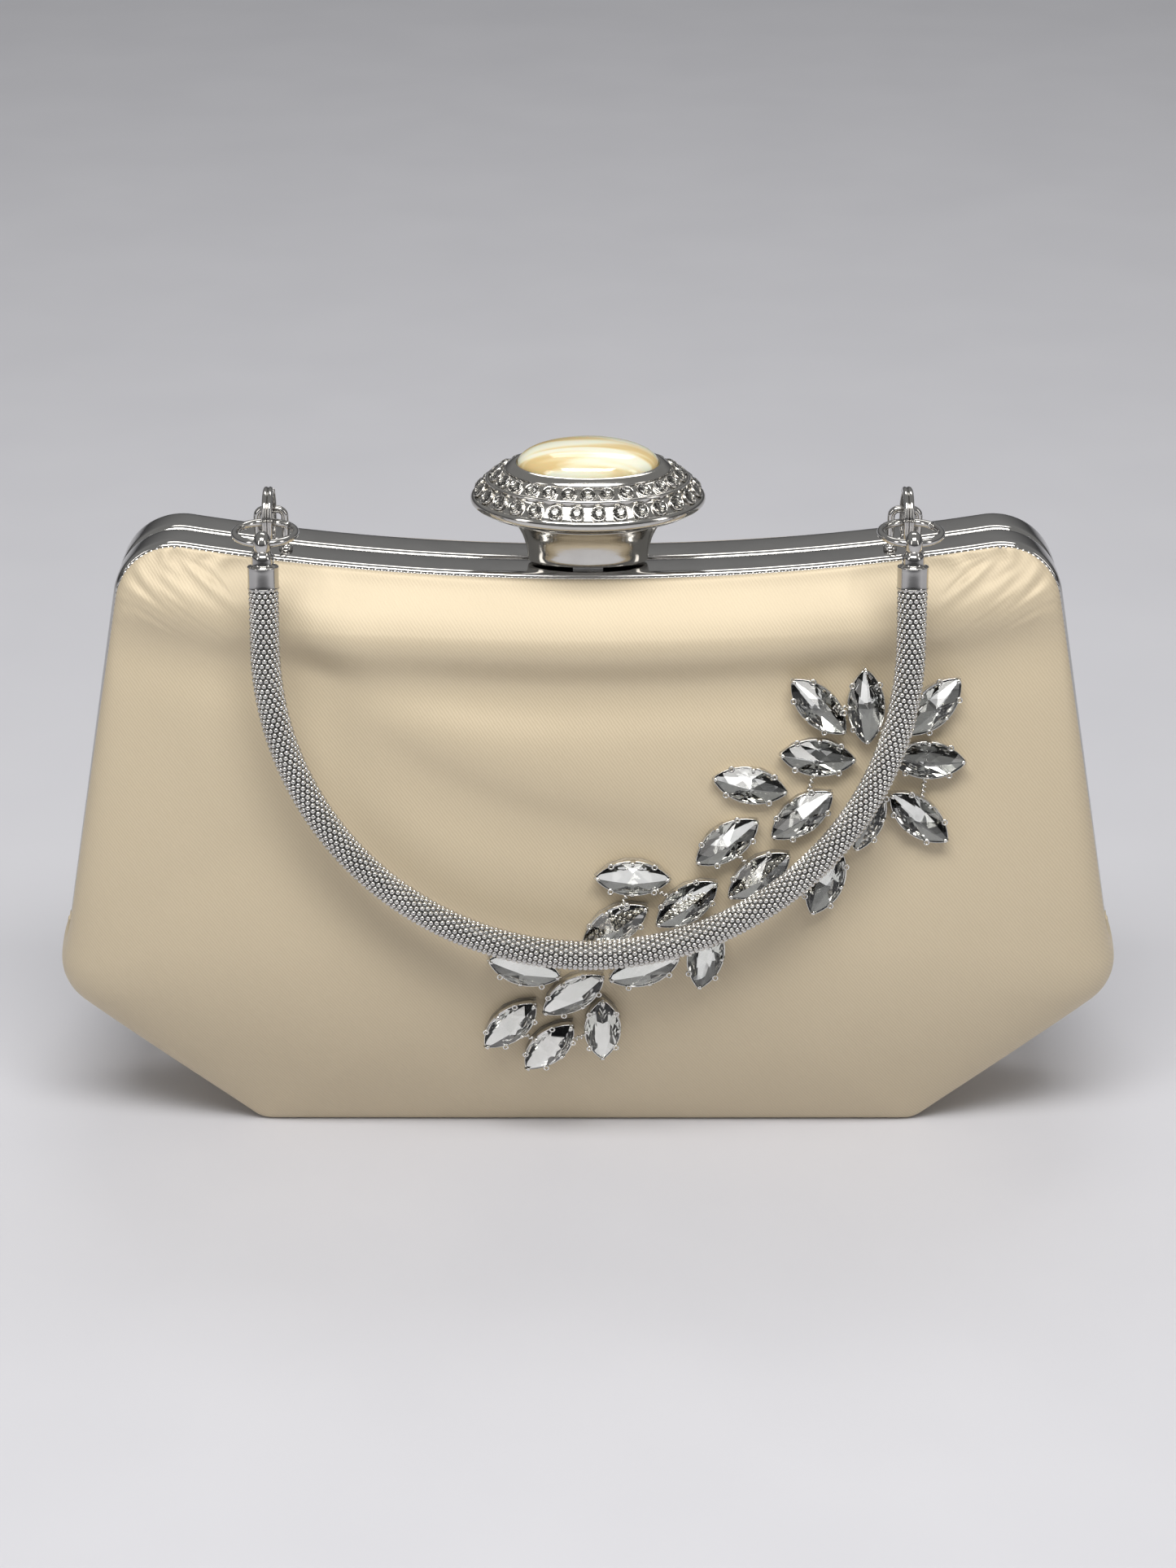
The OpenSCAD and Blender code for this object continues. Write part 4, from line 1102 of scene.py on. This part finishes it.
def u_path(spacing):
    """Points along the U at even spacing, from the left cap to the right one, with the
    direction of travel: a straight stretch, a half circle, a straight stretch."""
    total = 2 * STRAIGHT + math.pi * handle_half_width
    count = int(round(total / spacing)) + 1
    s = np.linspace(0, total, count)
    turn = np.clip((s - STRAIGHT) / handle_half_width, 0, math.pi)
    extra = np.where(s < STRAIGHT, s, np.where(s > total - STRAIGHT, total - s, STRAIGHT))
    x = -handle_half_width * np.cos(turn)
    drop = CAP_LENGTH + extra + handle_half_width * np.sin(turn)
    points = EYE + x[:, None] * [1.0, 0, 0] + drop[:, None] * DOWN
    ahead = np.sin(turn)[:, None] * [1.0, 0, 0] + np.cos(turn)[:, None] * DOWN
    return points, ahead


FACE = np.cross([1.0, 0, 0], DOWN)
core_path = u_path(1.5)[0]
inner_tube = build("handle_inner_tube", wire(core_path, TUBE_R - 0.42, FACE, around=28))
# The inner tube's near-black colour is painted shade between the beads.
inner_tube.data.materials.append(GAP_SHADE_METAL)

# %% Beads in staggered rings
RING_PITCH = 1.0
BEADS_ROUND = 14
bead_path, bead_ahead = u_path(RING_PITCH)
rings = len(bead_path)
lap = (np.arange(BEADS_ROUND)[None] + 0.5 * (np.arange(rings) % 2)[:, None]) \
    * 2 * math.pi / BEADS_ROUND
first = np.broadcast_to(FACE, bead_ahead.shape)
second = np.cross(bead_ahead, first)
out = np.cos(lap)[..., None] * first[:, None] + np.sin(lap)[..., None] * second[:, None]
bead_at = bead_path[:, None] + (TUBE_R - 0.5) * out
bead_side = np.cross(out, np.broadcast_to(bead_ahead[:, None], out.shape))
bead_turn = np.stack([np.broadcast_to(bead_ahead[:, None], out.shape), bead_side, out], axis=-1)
bead_shape = triangles(cone_stack(
    [[0.45, -0.2], [0.57, 0.02], [0.5, 0.3], [0.22, 0.5]], 7, 0.0))
beads = build("handle_beads", [copies(
    bead_shape, bead_at.reshape(-1, 3), bead_turn.reshape(-1, 3, 3))], merge=0, outward=False)
beads.data.materials.append(BEAD_METAL)
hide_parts("handle_tube")
for piece in (inner_tube, beads):
    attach(piece, "handle")
print(rings, "rings of", BEADS_ROUND, "beads")


# %% End caps: a drilled ball, a neck and a smooth sleeve
def cap_parts(x):
    """A turned cap below the eye: rows are (radius, distance down from the eye)."""
    rows = smooth_rows(np.array([
        [1.75, 1.6, 0], [1.9, 2.1, 0], [2.15, 2.6, 0], [2.2, 3.9, 0], [2.35, 4.25, 0],
        [3.0, 4.45, 0], [3.08, 4.8, 0], [3.06, 6.0, 0], [3.06, 8.4, 0], [3.12, 8.7, 0],
        [3.05, 9.0, 0], [2.6, 9.1, 0]]), 4)
    a = np.linspace(0, 2 * math.pi, 36, endpoint=False)
    round_x = np.cos(a)[:, None] * [1.0, 0, 0] + np.sin(a)[:, None] * FACE
    rings = EYE + [x, 0, 0] + rows[:, None, 1:2] * DOWN + rows[:, None, :1] * round_x[None]
    return swept(rings)


def drilled_ball(x):
    """A ball with a hole along X: a ring whose section is a circle cut flat on the hole side."""
    turn = np.linspace(-1.0, 1.0, 15)
    reach = np.arccos(1.05 / 2.5)
    section = np.stack([2.5 * np.sin(turn * reach) * 0.72, 2.5 * np.cos(turn * reach)], axis=1)
    hole = np.stack([np.linspace(section[-1, 0], section[0, 0], 6)[1:-1], np.full(4, 1.05)], axis=1)
    profile = np.concatenate([section, hole])
    a = np.linspace(0, 2 * math.pi, 40, endpoint=False)
    round_eye = np.cos(a)[:, None] * DOWN + np.sin(a)[:, None] * FACE
    rings = EYE + [x, 0, 0] + profile[None, :, :1] * [1.0, 0, 0] \
        + profile[None, :, 1:] * round_eye[:, None]
    return swept(rings, closed=True)


for side, x in (("left", -handle_half_width), ("right", handle_half_width)):
    cap = build(f"{side}_cap", cap_parts(x) + drilled_ball(x))
    cap.data.materials.append(CHROME)
    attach(cap, "handle")
    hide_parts(f"{side}_end_cap")

# %% [markdown]
# ## Crystal spray
# The leaf-shaped crystals are sewn on in claw settings. Their places are read back from the
# loaded model: each crystal there is a separate island of its mesh, whose middle and main
# directions give a place and a frame. A cut crystal is clear facets over a mirrored back, so
# each one is two surfaces: a glass crown and a foil below it.


# %% Places of the crystals
def islands(points, faces):
    """The number of the island that each point belongs to: labels spread along edges until
    none changes."""
    label = np.arange(len(points))
    edges = np.concatenate([faces[:, [0, 1]], faces[:, [1, 2]], faces[:, [2, 0]]])
    while True:
        low = np.minimum(label[edges[:, 0]], label[edges[:, 1]])
        new = label.copy()
        np.minimum.at(new, edges[:, 0], low)
        np.minimum.at(new, edges[:, 1], low)
        new = new[new]
        if (new == label).all():
            return label
        label = new


stone_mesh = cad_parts["spray_stones"].data
raw = np.empty(len(stone_mesh.vertices) * 3, np.float32)
stone_mesh.vertices.foreach_get("co", raw)
raw = raw.reshape(-1, 3).astype(float) / MM
stone_mesh.calc_loop_triangles()
tri = np.empty(len(stone_mesh.loop_triangles) * 3, np.int32)
stone_mesh.loop_triangles.foreach_get("vertices", tri)
shared, where = np.unique(raw.round(3), axis=0, return_inverse=True)
label = islands(shared, where.reshape(-1)[tri].reshape(-1, 3))
groups = [shared[label == value] for value in np.unique(label)]
centres, turns = [], []
for cloud in groups:
    far = np.linalg.norm(cloud[:, None] - cloud[None], axis=-1)
    i, j = np.unravel_index(far.argmax(), far.shape)
    tips = (cloud[i] + cloud[j]) / 2
    long = unit(cloud[i] - cloud[j])
    normal = cloud.mean(0) - tips
    normal = unit(normal - (normal @ long) * long)
    centres.append(tips)
    turns.append(np.stack([long, np.cross(normal, long), normal], axis=1))
centres, turns = np.array(centres), np.array(turns)
print(len(centres), "crystals, first at", centres[0].round(1))

# %% Cut of a marquise crystal
STONE_LENGTH, STONE_WIDTH = 15.0, 7.0


def lens_ring(length, width, z, corners, shift=0.0):
    """A pointed oval of two equal arcs as a ring of corners points: x along its length."""
    r = (length ** 2 + width ** 2) / (4 * width)
    half_turn = math.asin(length / (2 * r))
    u = (np.arange(corners) + shift) / corners * 2
    side = np.where(u % 2 < 1, 1.0, -1.0)
    a = -half_turn + 2 * half_turn * (u % 1)
    return np.stack([-side * r * np.sin(a), side * (r * np.cos(a) - r + width / 2),
                     np.full(corners, z)], axis=1)


GIRDLE = 16


def scaled_ring(size, z, corners=GIRDLE, shift=0.0):
    """The crystal's own outline scaled by size, at height z."""
    return lens_ring(STONE_LENGTH * size, STONE_WIDTH * size, z, corners, shift)


def marquise_crown():
    """Clear crown: a low band, then four large kites that meet at the middle. Each kite runs
    from the top to a quarter point of the edge, between a point on the long axis and one on the
    short axis. Narrow triangles fill the edge between the kites."""
    rings = [scaled_ring(0.97, -0.05), scaled_ring(1.0, 0.15), scaled_ring(1.0, 0.75)]
    top = np.array([[0, 0, 3.35]])
    long_axis = scaled_ring(0.60, 1.95)[[0, 8]]
    short_axis = scaled_ring(0.52, 2.05)[[4, 12]]
    points = np.concatenate(rings + [top, long_axis, short_axis, [[0, 0, -0.05]]])
    band = grid_faces(3, GIRDLE, wrap_columns=True)
    faces = [np.concatenate([band[:, [0, 1, 2]], band[:, [0, 2, 3]]])]
    edge, peak, under = 2 * GIRDLE, 3 * GIRDLE, 3 * GIRDLE + 5
    spokes = np.array([peak + 1, peak + 3, peak + 2, peak + 4])
    q = np.arange(4)
    corner = edge + 4 * q + 2
    faces += [np.stack([np.full(4, peak), spokes, corner], axis=1),
              np.stack([np.full(4, peak), corner, spokes[(q + 1) % 4]], axis=1)]
    for k in range(2):
        faces.append(np.stack([spokes, edge + 4 * q + k, edge + 4 * q + k + 1], axis=1))
        faces.append(np.stack([spokes[(q + 1) % 4], edge + (4 * q + 2 + k) % GIRDLE,
                               edge + (4 * q + 3 + k) % GIRDLE], axis=1))
    k = np.arange(GIRDLE)
    faces.append(np.stack([(k + 1) % GIRDLE, k, np.full(GIRDLE, under)], axis=1))
    return points, np.concatenate(faces)


back_rings = np.stack([scaled_ring(0.06, -1.4, 8), scaled_ring(0.55, -0.95, 8),
                       scaled_ring(0.97, -0.1, 8)])
jitter = np.random.default_rng(7)
tipped = turns.copy()
tilt = np.radians(jitter.uniform(-4, 4, len(turns)))
tipped[:, :, 1] = np.cos(tilt)[:, None] * turns[:, :, 1] + np.sin(tilt)[:, None] * turns[:, :, 2]
tipped[:, :, 2] = np.cross(tipped[:, :, 0], tipped[:, :, 1])
stones = build("spray_crystals", [copies(marquise_crown(), centres, tipped)], smooth=False)
stones.data.materials.append(CRYSTAL)
backs = build("spray_crystal_foils", [copies(triangles(back_rings), centres, tipped)], smooth=False)
backs.data.materials.append(FOIL)
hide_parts("spray_stones")
for piece in (stones, backs):
    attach(piece, "front_half")


# %% Claw settings: a thin cup, four sewing eyes and two claws at the tips
def cup():
    """A lens-shaped wall: up the outside, over a thin lip and down the inside."""
    n = 28
    rows = ((14.6, 6.6, -1.45), (15.3, 7.3, -0.9), (15.7, 7.7, 0.35), (15.5, 7.5, 0.55),
            (15.1, 7.1, 0.4), (14.9, 6.9, -0.3))
    return triangles(np.stack([lens_ring(l, w, z, n) for l, w, z in rows]))


def small_torus(place, r, wire_r, around=12, section=6):
    """A ring lying flat at place, as points and four-cornered faces cut in two."""
    a = np.linspace(0, 2 * math.pi, around, endpoint=False)[:, None]
    b = np.linspace(0, 2 * math.pi, section, endpoint=False)[None]
    reach = r + wire_r * np.cos(b)
    points = np.stack([reach * np.cos(a), reach * np.sin(a),
                       np.broadcast_to(wire_r * np.sin(b), (around, section))], axis=-1)
    quads = grid_faces(around, section, wrap_rows=True, wrap_columns=True)
    return (points.reshape(-1, 3) + place,
            np.concatenate([quads[:, [0, 1, 2]], quads[:, [0, 2, 3]]]))


def claw(x, y):
    """A bent tongue from the cup's wall over the crystal's edge, three rings long."""
    out = unit(np.array([x, y, 0.0]))
    across = np.array([-out[1], out[0], 0])
    rows = []
    for reach, z, wide, thick in ((0.35, -0.2, 0.55, 0.16), (0.38, 0.75, 0.5, 0.16),
                                  (0.05, 1.15, 0.42, 0.15), (-0.55, 1.3, 0.2, 0.12)):
        middle = np.array([x, y, z]) + reach * out
        up = np.array([0, 0, thick])
        rows.append([middle - wide * across - up, middle + wide * across - up,
                     middle + wide * across + up, middle - wide * across + up])
    return triangles(np.array(rows))


EYES = [(sx * 4.4, sy * 2.75) for sx in (-1, 1) for sy in (-1, 1)]
setting_parts = [cup()]
setting_parts += [small_torus(np.array([x, y, 0.95]), 0.5, 0.19) for x, y in EYES]
setting_parts += [claw(x, y) for x, y in ((7.2, 0.0), (-7.2, 0.0), (0, 3.45), (0, -3.45))]
points, faces = gather(setting_parts)
setting = (points, np.concatenate(faces))
settings = build("spray_claw_settings", [copies(setting, centres, tipped)])
settings.data.materials.append(CLAW_METAL)
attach(settings, "front_half")
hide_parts("spray_settings")

# %% Twisted wire ends between neighbouring crystals
gap = np.linalg.norm(centres[:, None] - centres[None], axis=-1)
pairs = np.argwhere(np.triu((gap > 6) & (gap < 12.5)))[::2]
t = np.linspace(-1, 1, 40)
twists = []
for i, j in pairs:
    middle = (centres[i] + centres[j]) / 2 + 0.4 * turns[i, :, 2]
    ahead = unit(centres[j] - centres[i])
    side = unit(np.cross(ahead, turns[i, :, 2]))
    up = np.cross(side, ahead)
    path = (middle + 2.1 * t[:, None] * ahead + 0.38 * np.cos(t * 13)[:, None] * side
            + 0.38 * np.sin(t * 13)[:, None] * up)
    twists += wire(path, 0.2, up, around=6)
wires = build("spray_wire_twists", twists)
wires.data.materials.append(CLAW_METAL)
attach(wires, "front_half")
print(len(pairs), "wire twists")

# %% [markdown]
# ## Parts that keep their measured shape
# Pins, springs, bracket, lever, core and film already have the right shape, so they only get a
# finish.

# %% Finishes on the loaded parts
KEPT = {"hinge_pins": STEEL, "catch_spring": STEEL, "clasp_bracket": STEEL, "clasp_pin": STEEL,
        "clasp_spring": STEEL, "latch_lever": STEEL, "handle_core": STEEL, "spray_backing": FILM}
for name, material in KEPT.items():
    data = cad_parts[name].data
    data.materials.clear()
    data.materials.append(material)
print(len(KEPT), "loaded parts finished")
